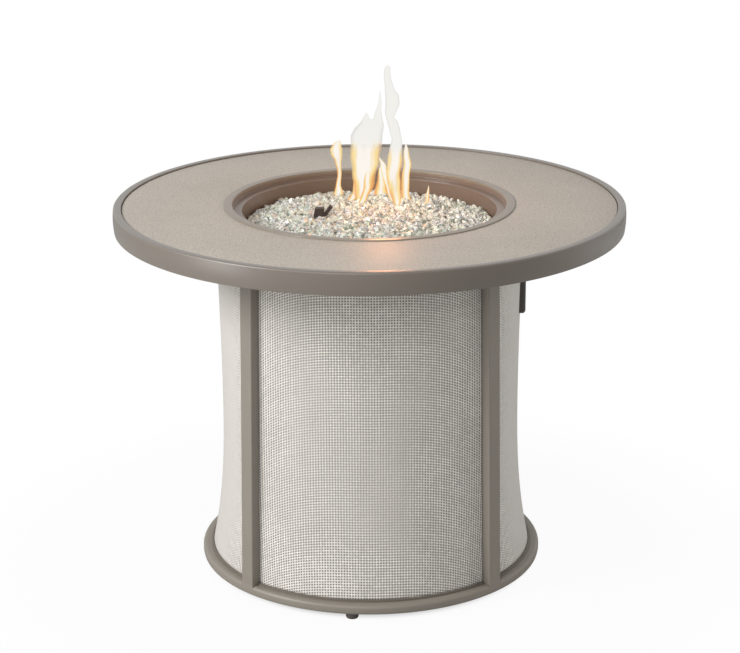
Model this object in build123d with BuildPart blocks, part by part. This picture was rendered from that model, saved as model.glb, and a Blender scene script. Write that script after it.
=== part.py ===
"""Round gas fire pit table: a stone top in a metal rim with a burner bowl in it, on a drum-shaped base
of four leaning posts, two rings and four tensioned mesh panels, the rear one a door.

Millimetres. +Z is up, the origin is on the floor under the centre of the top, and the front faces -Y.
An azimuth of 0 points to the front, 90 to the right-hand side (+X) and 180 to the rear.
"""

import os
from math import asin, cos, degrees, hypot, pi, radians, sin, sqrt

from build123d import *

os.makedirs("parts", exist_ok=True)

# Driving dimensions of the table top
TABLE_D = 800.0
TABLE_H = 590.5
RIM_H = 34.2
RIM_FLAT = 13.0
RIM_WALL = 3.0
LEDGE_W = 25.0
LEDGE_T = 4.0
STONE_DROP = 2.5
STONE_T = 12.0
STONE_HOLE_D = 436.0
PAD_T = 1.0
ARM_W = 40.0
ARM_WALL = 2.0

# Driving dimensions of the burner bowl
SHEET = 1.8
FLANGE_D = 456.0
RECESS_D = 429.0
RECESS_DEPTH = 10.2
BOWL_D = 398.0
BOWL_FLOOR_Z = 516.8
BOWL_CORNER = 18.0
GLASS_EDGE_Z = 556.0
GLASS_TOP_Z = 563.0
MOUND_R = 60.0
LUMP_GAP = 43.0
LUMP_R = 17.0
LUMP_H = 6.0
BURNER_D = 112.0
BURNER_TUBE_D = 16.0
THERMO_XY = (-70.0, 2.0)
ELECTRODE_XY = (-77.0, 19.5)

# Driving dimensions of the base
FOOT_H = 10.0
RING_H = 14.5
RING_W = 25.0
RING_WALL = 2.5
BASE_D = 549.0
TOP_RING_T = 8.0
POST = 25.0
POST_WALL = 2.0
POST_R_LOW = 273.8
POST_R_HIGH = 263.1
GROOVE_DEPTH = 15.5
CLOTH = 1.0
WAIST_R = 235.9
WAIST_Z = 280.0
FOOT_FLARE = 26.9
FOOT_POWER = 2.65
HEAD_FLARE = 6.1
HEAD_POWER = 1.8

# Levels and radii that follow from them
R_RIM = TABLE_D / 2
R_STONE = R_RIM - RIM_FLAT
Z_RIM = TABLE_H - RIM_H
Z_STONE = TABLE_H - STONE_DROP
Z_SEAT = Z_STONE - STONE_T - PAD_T
Z_ARM = Z_SEAT - LEDGE_T
Z_FLANGE = Z_STONE + SHEET
Z_RECESS = Z_FLANGE - RECESS_DEPTH
R_BOWL = BOWL_D / 2
R_RECESS = RECESS_D / 2
R_FLANGE = FLANGE_D / 2
R_RING = BASE_D / 2
R_RING_IN = R_RING - RING_W
Z_RING = FOOT_H + RING_H
Z_POST = Z_RIM - TOP_RING_T
R_TOP_RING = POST_R_HIGH
R_TOP_RING_IN = R_TOP_RING - RING_W
POST_AZIMUTHS = {
    "post_front_left": -45.0,
    "post_front_right": 45.0,
    "post_rear_right": 135.0,
    "post_rear_left": -135.0,
}
CLOTH_GRIP = 11.2
DOOR_GRIP = 27.0
GROOVE_R = 2.6
SPLINE_R = 2.4
GROOVE_OFFSET = 8.7
FOOT_TRACK_H = 3.0
HEAD_TRACK_H = 6.5
TRACK_HALF = 4.5


def outward(azimuth, radius, tangent=0.0):
    """Plan position at a radius along an azimuth, moved sideways along the ring by tangent."""
    a = radians(azimuth)
    return (radius * sin(a) + tangent * cos(a), -radius * cos(a) + tangent * sin(a))


def radial_plane(azimuth, radius, z):
    """Level plane with its origin at a radius, x pointing outward and y along the ring."""
    x, y = outward(azimuth, radius)
    a = radians(azimuth)
    return Plane(origin=(x, y, z), x_dir=(sin(a), -cos(a), 0), z_dir=(0, 0, 1))


def panel_plane(azimuth, z):
    """Level plane on the table's axis whose -y points outward at the azimuth."""
    a = radians(azimuth)
    return Plane(origin=(0, 0, z), x_dir=(cos(a), sin(a), 0), z_dir=(0, 0, 1))


def post_radius(z):
    """Radius of the posts' outer faces at a height."""
    return POST_R_LOW + (POST_R_HIGH - POST_R_LOW) * (z - Z_RING) / (Z_POST - Z_RING)


def lean(azimuth, z_low, z_high):
    """Direction and length of a run that leans as the posts do."""
    shift = post_radius(z_high) - post_radius(z_low)
    x, y = outward(azimuth, shift)
    run = Vector(x, y, z_high - z_low)
    return run.normalized(), run.length


def waist(z):
    """Radius of a panel's middle at a height: it draws in from foot and head to the waist."""
    if z < WAIST_Z:
        return WAIST_R + FOOT_FLARE * (1 - z / WAIST_Z) ** FOOT_POWER
    return WAIST_R + HEAD_FLARE * ((z - WAIST_Z) / (Z_POST - WAIST_Z)) ** HEAD_POWER


def sling_arc(z, grip):
    """Centre distance, radius and half angle of the arc that the cloth follows at a height."""
    depth = post_radius(z) - GROOVE_DEPTH
    edge_x = (depth - grip) * cos(radians(45))
    edge_y = (depth + grip) * cos(radians(45))
    rise = waist(z) - edge_y
    radius = (edge_x**2 + rise**2) / (2 * rise)
    return waist(z) - radius, radius, asin(edge_x / radius)


def arc_strip(z, inner, outer, grip=CLOTH_GRIP, trim=0.0):
    """Add the face between two arcs beside the cloth, trim short of its side edges."""
    middle, radius, half = sling_arc(z, grip)
    half -= trim / radius

    def at(r, angle):
        return (r * sin(angle), -middle - r * cos(angle))

    with BuildLine() as edge:
        front = ThreePointArc(at(radius + outer, -half), at(radius + outer, 0), at(radius + outer, half))
        side = Line(front @ 1, at(radius + inner, half))
        back = ThreePointArc(side @ 1, at(radius + inner, 0), at(radius + inner, -half))
        Line(back @ 1, front @ 0)
    make_face(edge.edges())


# Rim: a rolled channel, open underneath, with an inward ledge for the stone
with BuildPart() as rim_ring:
    with BuildSketch(Plane.XZ) as rim_section:
        with BuildLine():
            ThreePointArc((R_RIM - 1.4, Z_RIM), (R_RIM, Z_RIM + 0.555 * RIM_H), (R_RIM - 0.9, TABLE_H))
            Line((R_RIM - 0.9, TABLE_H), (R_STONE, TABLE_H))
            Line((R_STONE, TABLE_H), (R_STONE, Z_SEAT))
            Line((R_STONE, Z_SEAT), (R_STONE - LEDGE_W, Z_SEAT))
            Line((R_STONE - LEDGE_W, Z_SEAT), (R_STONE - LEDGE_W, Z_ARM))
            Line((R_STONE - LEDGE_W, Z_ARM), (R_STONE + RIM_WALL, Z_ARM))
            Line((R_STONE + RIM_WALL, Z_ARM), (R_STONE + RIM_WALL, TABLE_H - RIM_WALL))
            Line((R_STONE + RIM_WALL, TABLE_H - RIM_WALL), (R_RIM - 4.2, TABLE_H - RIM_WALL))
            Line((R_RIM - 4.2, TABLE_H - RIM_WALL), (R_RIM - 4.2, Z_RIM))
            Line((R_RIM - 4.2, Z_RIM), (R_RIM - 1.4, Z_RIM))
        make_face()
        top_corners = rim_section.vertices().group_by(Axis.Y)[-1].sort_by(Axis.X)
        fillet(top_corners[-1], radius=3.0)
        fillet(top_corners[0], radius=1.0)
    revolve(axis=Axis.Z)
    with BuildSketch(Plane.XY.offset(Z_SEAT)):
        with PolarLocations(R_STONE - LEDGE_W / 2, 4, start_angle=45):
            Circle(2.1)
    extrude(amount=-LEDGE_T, mode=Mode.SUBTRACT)
rim_ring.part.label = "rim_ring"
export_step(rim_ring.part, "parts/rim_ring.step")

# Stone: one ring-shaped slab with eased edges
with BuildPart() as stone_top:
    with BuildSketch(Plane.XY.offset(Z_STONE - STONE_T)):
        Circle(R_STONE - 0.8)
        Circle(STONE_HOLE_D / 2, mode=Mode.SUBTRACT)
    extrude(amount=STONE_T)
    chamfer(stone_top.faces().sort_by(Axis.Z)[-1].edges(), length=0.8)
stone_top.part.label = "stone_top"
export_step(stone_top.part, "parts/stone_top.step")

# Pads: short strips of silicone between the stone and what it lies on
PAD_RADII = (R_STONE - LEDGE_W / 2, 236.0)
with BuildPart() as stone_pads:
    with BuildSketch(Plane.XY.offset(Z_SEAT)):
        for pad_radius in PAD_RADII:
            with PolarLocations(pad_radius, 8, start_angle=22.5):
                Rectangle(14, 24)
    extrude(amount=PAD_T)
stone_pads.part.label = "stone_pads"
export_step(stone_pads.part, "parts/stone_pads.step")

# Arms: four flat tubes over the posts, which carry the rim's ledge and the ring under the stone
ARM_R_IN = 222.0
ARM_R_OUT = R_STONE - 1.0
BOLT_R = 257.5
BOLT_OFFSET = 15.9
with BuildPart() as top_arms:
    for azimuth in POST_AZIMUTHS.values():
        with BuildSketch(radial_plane(azimuth, (ARM_R_IN + ARM_R_OUT) / 2, Z_RIM)):
            Rectangle(ARM_R_OUT - ARM_R_IN, ARM_W)
        extrude(amount=Z_ARM - Z_RIM)
        with BuildSketch(radial_plane(azimuth, (ARM_R_IN + ARM_R_OUT) / 2, Z_RIM + ARM_WALL)):
            Rectangle(ARM_R_OUT - ARM_R_IN, ARM_W - 2 * ARM_WALL)
        extrude(amount=Z_ARM - Z_RIM - 2 * ARM_WALL, mode=Mode.SUBTRACT)
        with BuildSketch(radial_plane(azimuth, 0, Z_RIM)):
            with Locations((BOLT_R, BOLT_OFFSET), (BOLT_R, -BOLT_OFFSET)):
                Circle(2.0)
        extrude(amount=ARM_WALL, mode=Mode.SUBTRACT)
        with BuildSketch(radial_plane(azimuth, 0, Z_ARM)):
            with Locations((R_STONE - LEDGE_W / 2, 0)):
                Circle(2.0)
        extrude(amount=-ARM_WALL, mode=Mode.SUBTRACT)
top_arms.part.label = "top_arms"
export_step(top_arms.part, "parts/top_arms.step")

with BuildPart() as support_ring:
    with BuildSketch(Plane.XY.offset(Z_ARM)):
        Circle(250.0)
        Circle(ARM_R_IN, mode=Mode.SUBTRACT)
    extrude(amount=LEDGE_T)
support_ring.part.label = "support_ring"
export_step(support_ring.part, "parts/support_ring.step")

# Screws of the top: two bolts up through the base's top ring into each arm, one sunk screw in the ledge
with BuildPart() as top_screws:
    for azimuth in POST_AZIMUTHS.values():
        with BuildSketch(radial_plane(azimuth, 0, Z_POST)):
            with Locations((BOLT_R, BOLT_OFFSET), (BOLT_R, -BOLT_OFFSET)):
                Circle(3.2)
        extrude(amount=-3.5)
        with BuildSketch(radial_plane(azimuth, 0, Z_POST)):
            with Locations((BOLT_R, BOLT_OFFSET), (BOLT_R, -BOLT_OFFSET)):
                Circle(2.0)
        extrude(amount=TOP_RING_T + ARM_WALL + 1.5)
        with BuildSketch(radial_plane(azimuth, 0, Z_SEAT)):
            with Locations((R_STONE - LEDGE_W / 2, 0)):
                Circle(2.0)
        extrude(amount=-LEDGE_T - ARM_WALL - 3.0)
top_screws.part.label = "top_screws"
export_step(top_screws.part, "parts/top_screws.step")

# Rim of the burner pan: flange on the stone, recess for a lid and inner ledge, one ring-shaped pressing
with BuildPart() as pan_rim:
    with BuildSketch(Plane.XZ) as pan_rim_section:
        with BuildLine():
            Polyline(
                (R_BOWL, Z_RECESS),
                (R_RECESS, Z_RECESS),
                (R_RECESS, Z_FLANGE),
                (R_FLANGE, Z_FLANGE),
                (R_FLANGE, Z_STONE),
                (R_RECESS + SHEET, Z_STONE),
                (R_RECESS + SHEET, Z_RECESS - SHEET),
                (R_BOWL, Z_RECESS - SHEET),
                close=True,
            )
        make_face()
    revolve(axis=Axis.Z)
    fillet(pan_rim.edges().filter_by(GeomType.CIRCLE).group_by(Axis.Z)[-1], radius=0.8)
pan_rim.part.label = "pan_rim"
export_step(pan_rim.part, "parts/pan_rim.step")

# Burner pan: wall and floor of the bowl, welded under the rim's ledge
CORNER = (R_BOWL - BOWL_CORNER, BOWL_FLOOR_Z + BOWL_CORNER)
NIPPLE_R = 9.0
with BuildPart() as burner_pan:
    with BuildSketch(Plane.XZ) as pan_section:
        with BuildLine():
            Line((NIPPLE_R + 0.5, BOWL_FLOOR_Z), (CORNER[0], BOWL_FLOOR_Z))
            CenterArc(CORNER, BOWL_CORNER, -90, 90)
            Line((R_BOWL, CORNER[1]), (R_BOWL, Z_RECESS - SHEET))
            Line((R_BOWL, Z_RECESS - SHEET), (R_BOWL + SHEET, Z_RECESS - SHEET))
            Line((R_BOWL + SHEET, Z_RECESS - SHEET), (R_BOWL + SHEET, CORNER[1]))
            CenterArc(CORNER, BOWL_CORNER + SHEET, -90, 90)
            Line((CORNER[0], BOWL_FLOOR_Z - SHEET), (NIPPLE_R + 0.5, BOWL_FLOOR_Z - SHEET))
            Line((NIPPLE_R + 0.5, BOWL_FLOOR_Z - SHEET), (NIPPLE_R + 0.5, BOWL_FLOOR_Z))
        make_face()
    revolve(axis=Axis.Z)
    with BuildSketch(Plane.XY.offset(BOWL_FLOOR_Z)):
        with PolarLocations(150.0, 6, start_angle=30):
            Circle(3.0)
        with Locations(ELECTRODE_XY):
            Circle(3.0)
        with Locations(THERMO_XY):
            Circle(1.9)
    extrude(amount=-SHEET, mode=Mode.SUBTRACT)
burner_pan.part.label = "burner_pan"
export_step(burner_pan.part, "parts/burner_pan.step")

# Burner: a ring of tube fed by four spokes from a hub, with gas ports along its top
BURNER_Z = 530.0
BURNER_WALL = 1.2
TUBE_R = BURNER_TUBE_D / 2
SPOKE_R = 6.0
HUB_R = 16.0
HUB_LOW = BOWL_FLOOR_Z + 0.4
with BuildPart() as burner_ring:
    with Locations((0, 0, BURNER_Z)):
        Torus(BURNER_D / 2, TUBE_R)
    with BuildSketch(Plane.XY.offset(HUB_LOW)):
        Circle(HUB_R)
    extrude(amount=541.0 - HUB_LOW)
    for turn in (45, 135, 225, 315):
        with BuildSketch(Plane(origin=(0, 0, BURNER_Z), z_dir=(cos(radians(turn)), sin(radians(turn)), 0))):
            Circle(SPOKE_R)
        extrude(amount=BURNER_D / 2)
    with Locations((0, 0, BURNER_Z)):
        Torus(BURNER_D / 2, TUBE_R - BURNER_WALL, mode=Mode.SUBTRACT)
    for turn in (45, 135, 225, 315):
        with BuildSketch(Plane(origin=(0, 0, BURNER_Z), z_dir=(cos(radians(turn)), sin(radians(turn)), 0))):
            Circle(SPOKE_R - BURNER_WALL)
        extrude(amount=BURNER_D / 2, mode=Mode.SUBTRACT)
    with BuildSketch(Plane.XY.offset(HUB_LOW)):
        Circle(NIPPLE_R + 0.02)
    extrude(amount=BURNER_Z + SPOKE_R - HUB_LOW, mode=Mode.SUBTRACT)
    with BuildSketch(Plane.XY.offset(BURNER_Z + 4)):
        with PolarLocations(BURNER_D / 2, 16, start_angle=11.25):
            Circle(1.3)
    extrude(amount=TUBE_R, mode=Mode.SUBTRACT)
burner_ring.part.label = "burner_ring"
export_step(burner_ring.part, "parts/burner_ring.step")

# Gas path under the bowl: elbow with its nipple up through the floor, locknut, air mixer and orifice
GAS_Z = 492.0
with BuildPart() as gas_elbow:
    with Locations((0, 0, GAS_Z)):
        Sphere(12.5)
    with BuildSketch(Plane.XY.offset(GAS_Z)):
        Circle(NIPPLE_R)
    extrude(amount=533.0 - GAS_Z)
    with BuildSketch(Plane.YZ):
        with Locations((0, GAS_Z)):
            Circle(12.5)
    extrude(amount=20.0)
    with BuildSketch(Plane.XY.offset(GAS_Z)):
        Circle(6.0)
    extrude(amount=533.0 - GAS_Z, mode=Mode.SUBTRACT)
    with BuildSketch(Plane.YZ):
        with Locations((0, GAS_Z)):
            Circle(6.0)
    extrude(amount=20.0, mode=Mode.SUBTRACT)
    with BuildSketch(Plane.YZ.offset(8.0)):
        with Locations((0, GAS_Z)):
            Circle(9.0)
    extrude(amount=12.0, mode=Mode.SUBTRACT)
gas_elbow.part.label = "gas_elbow"
export_step(gas_elbow.part, "parts/gas_elbow.step")

MIXER_IN = 20.0
MIXER_OUT = 72.0
with BuildPart() as air_mixer:
    with BuildSketch(Plane.YZ.offset(MIXER_IN)):
        with Locations((0, GAS_Z)):
            Circle(12.0)
    extrude(amount=MIXER_OUT - MIXER_IN)
    with BuildSketch(Plane.YZ.offset(9.0)):
        with Locations((0, GAS_Z)):
            Circle(8.95)
    extrude(amount=MIXER_IN - 9.0)
    with BuildSketch(Plane.YZ.offset(9.0)):
        with Locations((0, GAS_Z)):
            Circle(6.5)
    extrude(amount=MIXER_OUT - 9.0, mode=Mode.SUBTRACT)
    with BuildSketch(Plane.XZ.offset(-20)):
        with Locations((44.0, GAS_Z)):
            SlotOverall(20.0, 8.0)
    extrude(amount=40.0, mode=Mode.SUBTRACT)
air_mixer.part.label = "air_mixer"
export_step(air_mixer.part, "parts/air_mixer.step")

with BuildPart() as gas_orifice:
    with BuildSketch(Plane.YZ.offset(MIXER_OUT)):
        with Locations((0, GAS_Z)):
            RegularPolygon(10.5, 6)
    extrude(amount=8.0)
    with BuildSketch(Plane.YZ.offset(MIXER_OUT - 10)):
        with Locations((0, GAS_Z)):
            Circle(6.45)
    extrude(amount=10.0)
    with BuildSketch(Plane.YZ.offset(MIXER_OUT + 8)):
        with Locations((0, GAS_Z)):
            Circle(6.5)
    extrude(amount=8.0)
    with BuildSketch(Plane.YZ.offset(MIXER_OUT - 8)):
        with Locations((0, GAS_Z)):
            Circle(3.0)
    extrude(amount=24.0, mode=Mode.SUBTRACT)
    with BuildSketch(Plane.YZ.offset(MIXER_OUT - 10)):
        with Locations((0, GAS_Z)):
            Circle(0.8)
    extrude(amount=2.0, mode=Mode.SUBTRACT)
gas_orifice.part.label = "gas_orifice"
export_step(gas_orifice.part, "parts/gas_orifice.step")

# Tube from the valve to the orifice: two 45 degree bends
VALVE_Y = -22.0
VALVE_BACK = 172.0
TUBE_START = VALVE_BACK - 12.0
TUBE_END = MIXER_OUT + 16.0
with BuildPart() as valve_tube:
    with BuildLine() as tube_route:
        FilletPolyline(
            (TUBE_START, VALVE_Y, GAS_Z),
            (135.0, VALVE_Y, GAS_Z),
            (113.0, 0, GAS_Z),
            (TUBE_END, 0, GAS_Z),
            radius=20.0,
        )
    with BuildSketch(Plane(origin=tube_route.line @ 0, z_dir=tube_route.line % 0)):
        Circle(5.0)
        Circle(4.0, mode=Mode.SUBTRACT)
    sweep()
valve_tube.part.label = "valve_tube"
export_step(valve_tube.part, "parts/valve_tube.step")
print("valve_tube volume", round(valve_tube.part.volume), "section x length", round(9 * pi * tube_route.wires()[0].length))

# Nuts of the gas path: the locknut under the bowl, and flare nuts at the tube's two ends
with BuildPart() as fitting_nuts:
    with BuildSketch(Plane.XY.offset(BOWL_FLOOR_Z - SHEET - 8.0)):
        RegularPolygon(17.0, 6)
        Circle(NIPPLE_R, mode=Mode.SUBTRACT)
    extrude(amount=8.0)
    for centre_y, tail_x, direction in ((0.0, TUBE_END, -1), (VALVE_Y, TUBE_START, 1)):
        with BuildSketch(Plane.YZ.offset(tail_x + 7.0 * direction)):
            with Locations((centre_y, GAS_Z)):
                RegularPolygon(9.4, 6)
        extrude(amount=-14.0 * direction)
        with BuildSketch(Plane.YZ.offset(tail_x + 7.0 * direction)):
            with Locations((centre_y, GAS_Z)):
                Circle(6.6)
        extrude(amount=-7.0 * direction, mode=Mode.SUBTRACT)
        with BuildSketch(Plane.YZ.offset(tail_x)):
            with Locations((centre_y, GAS_Z)):
                Circle(5.1)
        extrude(amount=-7.0 * direction, mode=Mode.SUBTRACT)
fitting_nuts.part.label = "fitting_nuts"
export_step(fitting_nuts.part, "parts/fitting_nuts.step")

# Flame sensor group, standing up through the glass left of the middle
HOOD_X = -88.0
HOOD_Y = 10.0
HOOD_TOP = 577.0
HOOD_LOW = 566.0
with BuildPart() as sensor_hood:
    with BuildSketch(Plane.XY.offset(HOOD_LOW)):
        with Locations((HOOD_X + 8.5, HOOD_Y)):
            Rectangle(17.0, 12.0)
    extrude(amount=HOOD_TOP - HOOD_LOW)
    with BuildSketch(Plane.XY.offset(HOOD_LOW)):
        with Locations((HOOD_X + 10.0, HOOD_Y)):
            Rectangle(17.0, 9.4)
    extrude(amount=HOOD_TOP - HOOD_LOW - 1.3, mode=Mode.SUBTRACT)
    with BuildSketch(Plane.XY.offset(BOWL_FLOOR_Z)):
        with Locations((HOOD_X + 0.75, HOOD_Y)):
            Rectangle(1.5, 12.0)
    extrude(amount=HOOD_TOP - BOWL_FLOOR_Z)
    with BuildSketch(Plane.XY.offset(BOWL_FLOOR_Z)):
        with Locations((HOOD_X - 6.0, HOOD_Y)):
            Rectangle(12.0, 12.0)
    extrude(amount=1.5)
    with BuildSketch(Plane.XZ.offset(5.0 - HOOD_Y)):
        with BuildLine():
            Polyline(
                (HOOD_X + 1, HOOD_LOW),
                (HOOD_X + 17, HOOD_LOW),
                (HOOD_X + 29, HOOD_LOW + 14.2),
                (HOOD_X + 28, HOOD_LOW + 15),
                (HOOD_X + 16.4, HOOD_LOW + 1.3),
                (HOOD_X + 1, HOOD_LOW + 1.3),
                close=True,
            )
        make_face()
    extrude(amount=-10.0)
sensor_hood.part.label = "sensor_hood"
export_step(sensor_hood.part, "parts/sensor_hood.step")

LEAD_Z = 500.0
with BuildPart() as thermocouple:
    with BuildSketch(Plane.XY.offset(LEAD_Z)):
        with Locations(THERMO_XY):
            Circle(1.9)
    extrude(amount=46.0)
    with BuildSketch(Plane.XY.offset(LEAD_Z + 46.0)):
        with Locations(THERMO_XY):
            Circle(1.4)
    extrude(amount=18.0)
thermocouple.part.label = "thermocouple"
export_step(thermocouple.part, "parts/thermocouple.step")

with BuildPart() as spark_electrode:
    with BuildSketch(Plane.XY.offset(LEAD_Z)):
        with Locations(ELECTRODE_XY):
            Circle(3.0)
    extrude(amount=56.0)
    with BuildSketch(Plane.XY.offset(LEAD_Z + 56.0)):
        with Locations(ELECTRODE_XY):
            Circle(0.9)
    extrude(amount=14.0)
spark_electrode.part.label = "spark_electrode"
export_step(spark_electrode.part, "parts/spark_electrode.step")

# Glass: a loose fill around the burner with a slightly mounded top, heaped in lumps that keep off the
# sensor group; the golden angle spreads them evenly
GOLDEN_ANGLE = 137.508


def glass_level(radius):
    """Height of the glass between its lumps at a radius: level in the middle, falling to the wall."""
    return GLASS_TOP_Z - (GLASS_TOP_Z - GLASS_EDGE_Z) * max(radius - MOUND_R, 0) / (R_BOWL - MOUND_R)


LUMPS = []
for number in range(70):
    lump_r = 0.525 * LUMP_GAP * sqrt(number + 0.5)
    lump_x = lump_r * cos(radians(GOLDEN_ANGLE * number))
    lump_y = lump_r * sin(radians(GOLDEN_ANGLE * number))
    if lump_r < R_BOWL - LUMP_R - 1 and hypot(lump_x - HOOD_X - 10, lump_y - HOOD_Y) > 32:
        LUMPS.append((lump_x, lump_y, lump_r))

with BuildPart() as fire_glass:
    with BuildSketch(Plane.XZ) as glass_section:
        with BuildLine():
            Line((0, BOWL_FLOOR_Z + 0.2), (CORNER[0], BOWL_FLOOR_Z + 0.2))
            CenterArc(CORNER, BOWL_CORNER - 0.2, -90, 90)
            Line((R_BOWL - 0.2, CORNER[1]), (R_BOWL - 0.2, GLASS_EDGE_Z))
            Line((R_BOWL - 0.2, GLASS_EDGE_Z), (MOUND_R, GLASS_TOP_Z))
            Line((MOUND_R, GLASS_TOP_Z), (0, GLASS_TOP_Z))
            Line((0, GLASS_TOP_Z), (0, BOWL_FLOOR_Z + 0.2))
        make_face()
    revolve(axis=Axis.Z)
    for band in range(5):
        with BuildSketch(Plane.XY.offset(glass_level(LUMP_GAP * (band + 0.5)) - 2.0)):
            for lump_x, lump_y, lump_r in LUMPS:
                if int(lump_r / LUMP_GAP) == band:
                    with Locations(Location((lump_x, lump_y, 0), (0, 0, 7 * lump_x))):
                        RegularPolygon(LUMP_R, 5)
        extrude(amount=LUMP_H + 2.0, taper=42)
    with BuildSketch(Plane.XY.offset(BOWL_FLOOR_Z)):
        Circle(BURNER_D / 2 + TUBE_R + 0.5)
        Circle(BURNER_D / 2 - TUBE_R - 0.5, mode=Mode.SUBTRACT)
        Circle(HUB_R + 0.5)
        with Locations(Location((0, 0, 0), (0, 0, 45)), Location((0, 0, 0), (0, 0, 135))):
            Rectangle(BURNER_D, 2 * SPOKE_R + 1)
    extrude(amount=542.0 - BOWL_FLOOR_Z, mode=Mode.SUBTRACT)
    with BuildSketch(Plane.XY.offset(BOWL_FLOOR_Z)):
        with Locations((HOOD_X + 0.75, HOOD_Y)):
            Rectangle(2.3, 12.8)
        with Locations((HOOD_X - 6.0, HOOD_Y)):
            Rectangle(12.8, 12.8)
        with Locations(THERMO_XY):
            Circle(2.3)
        with Locations(ELECTRODE_XY):
            Circle(3.4)
    extrude(amount=GLASS_TOP_Z + LUMP_H - BOWL_FLOOR_Z, mode=Mode.SUBTRACT)
fire_glass.part.label = "fire_glass"
export_step(fire_glass.part, "parts/fire_glass.step")

# Panels: tensioned cloth between a post's groove at each side and a curved track above and below
SLING_HEIGHTS = (25.7, 60.0, 105.0, 165.0, 230.0, 300.0, 380.0, 450.0, 505.0, Z_POST - 3.0)
PLATE_W = 110.0
PLATE_LOW = 421.0
PLATE_HIGH = 532.0
WINDOW = (86.0, PLATE_LOW + 11.5, PLATE_HIGH - 11.0)
for name, azimuth in (("sling_front", 0.0), ("sling_left", -90.0), ("sling_right", 90.0)):
    with BuildPart() as sling:
        for height in SLING_HEIGHTS:
            with BuildSketch(panel_plane(azimuth, height)):
                arc_strip(height, -CLOTH / 2, CLOTH / 2)
        loft()
        if name == "sling_right":
            with BuildSketch(Plane.XY.offset(WINDOW[1])):
                with Locations((230.0, 0)):
                    Rectangle(40.0, WINDOW[0])
            extrude(amount=WINDOW[2] - WINDOW[1], mode=Mode.SUBTRACT)
    sling.part.label = name
    export_step(sling.part, f"parts/{name}.step")

# Tracks of the three fixed panels, on the bottom ring and under the top ring
with BuildPart() as bottom_tracks:
    for azimuth in (0.0, -90.0, 90.0):
        with BuildSketch(panel_plane(azimuth, Z_RING)):
            arc_strip(Z_RING + 2.5, -TRACK_HALF, TRACK_HALF, trim=1.8)
        extrude(amount=FOOT_TRACK_H)
        with BuildSketch(panel_plane(azimuth, Z_RING + 0.8)):
            arc_strip(Z_RING + 2.5, -1.3, 1.3, trim=1.8)
        extrude(amount=FOOT_TRACK_H, mode=Mode.SUBTRACT)
bottom_tracks.part.label = "bottom_tracks"
export_step(bottom_tracks.part, "parts/bottom_tracks.step")

with BuildPart() as top_tracks:
    for azimuth in (0.0, -90.0, 90.0):
        with BuildSketch(panel_plane(azimuth, Z_POST - HEAD_TRACK_H)):
            arc_strip(Z_POST - 4, -TRACK_HALF, TRACK_HALF, trim=2.2)
        extrude(amount=HEAD_TRACK_H)
        with BuildSketch(panel_plane(azimuth, Z_POST - 2.0)):
            arc_strip(Z_POST - 4, -1.7, 1.7, trim=2.2)
        extrude(amount=-HEAD_TRACK_H, mode=Mode.SUBTRACT)
top_tracks.part.label = "top_tracks"
export_step(top_tracks.part, "parts/top_tracks.step")

# Bottom ring: a rolled channel, open underneath, with a rounded outer shoulder
with BuildPart() as ring_envelope:
    with BuildSketch(Plane.XZ) as ring_section:
        with Locations((R_RING - RING_W / 2, FOOT_H + RING_H / 2)):
            Rectangle(RING_W, RING_H)
        ring_top = ring_section.vertices().group_by(Axis.Y)[-1].sort_by(Axis.X)
        fillet(ring_top[-1], radius=6.0)
        fillet(ring_top[0], radius=2.0)
        ring_foot = ring_section.vertices().group_by(Axis.Y)[0].sort_by(Axis.X)
        fillet(ring_foot[-1], radius=1.2)
    revolve(axis=Axis.Z)

with BuildPart() as bottom_ring:
    add(ring_envelope.part)
    with BuildSketch(Plane.XZ) as channel_section:
        with Locations((R_RING - RING_W / 2, FOOT_H + (RING_H - RING_WALL) / 2)):
            Rectangle(RING_W - 2 * RING_WALL, RING_H - RING_WALL)
        fillet(channel_section.vertices().group_by(Axis.Y)[-1].sort_by(Axis.X)[-1], radius=4.0)
    revolve(axis=Axis.Z, mode=Mode.SUBTRACT)
bottom_ring.part.label = "bottom_ring"
export_step(bottom_ring.part, "parts/bottom_ring.step")

with BuildPart() as top_ring:
    with BuildSketch(Plane.XY.offset(Z_POST)):
        Circle(R_TOP_RING)
        Circle(R_TOP_RING_IN, mode=Mode.SUBTRACT)
        for azimuth in POST_AZIMUTHS.values():
            with Locations(outward(azimuth, BOLT_R, BOLT_OFFSET), outward(azimuth, BOLT_R, -BOLT_OFFSET)):
                Circle(2.1, mode=Mode.SUBTRACT)
    extrude(amount=TOP_RING_T)
top_ring.part.label = "top_ring"
export_step(top_ring.part, "parts/top_ring.step")

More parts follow.
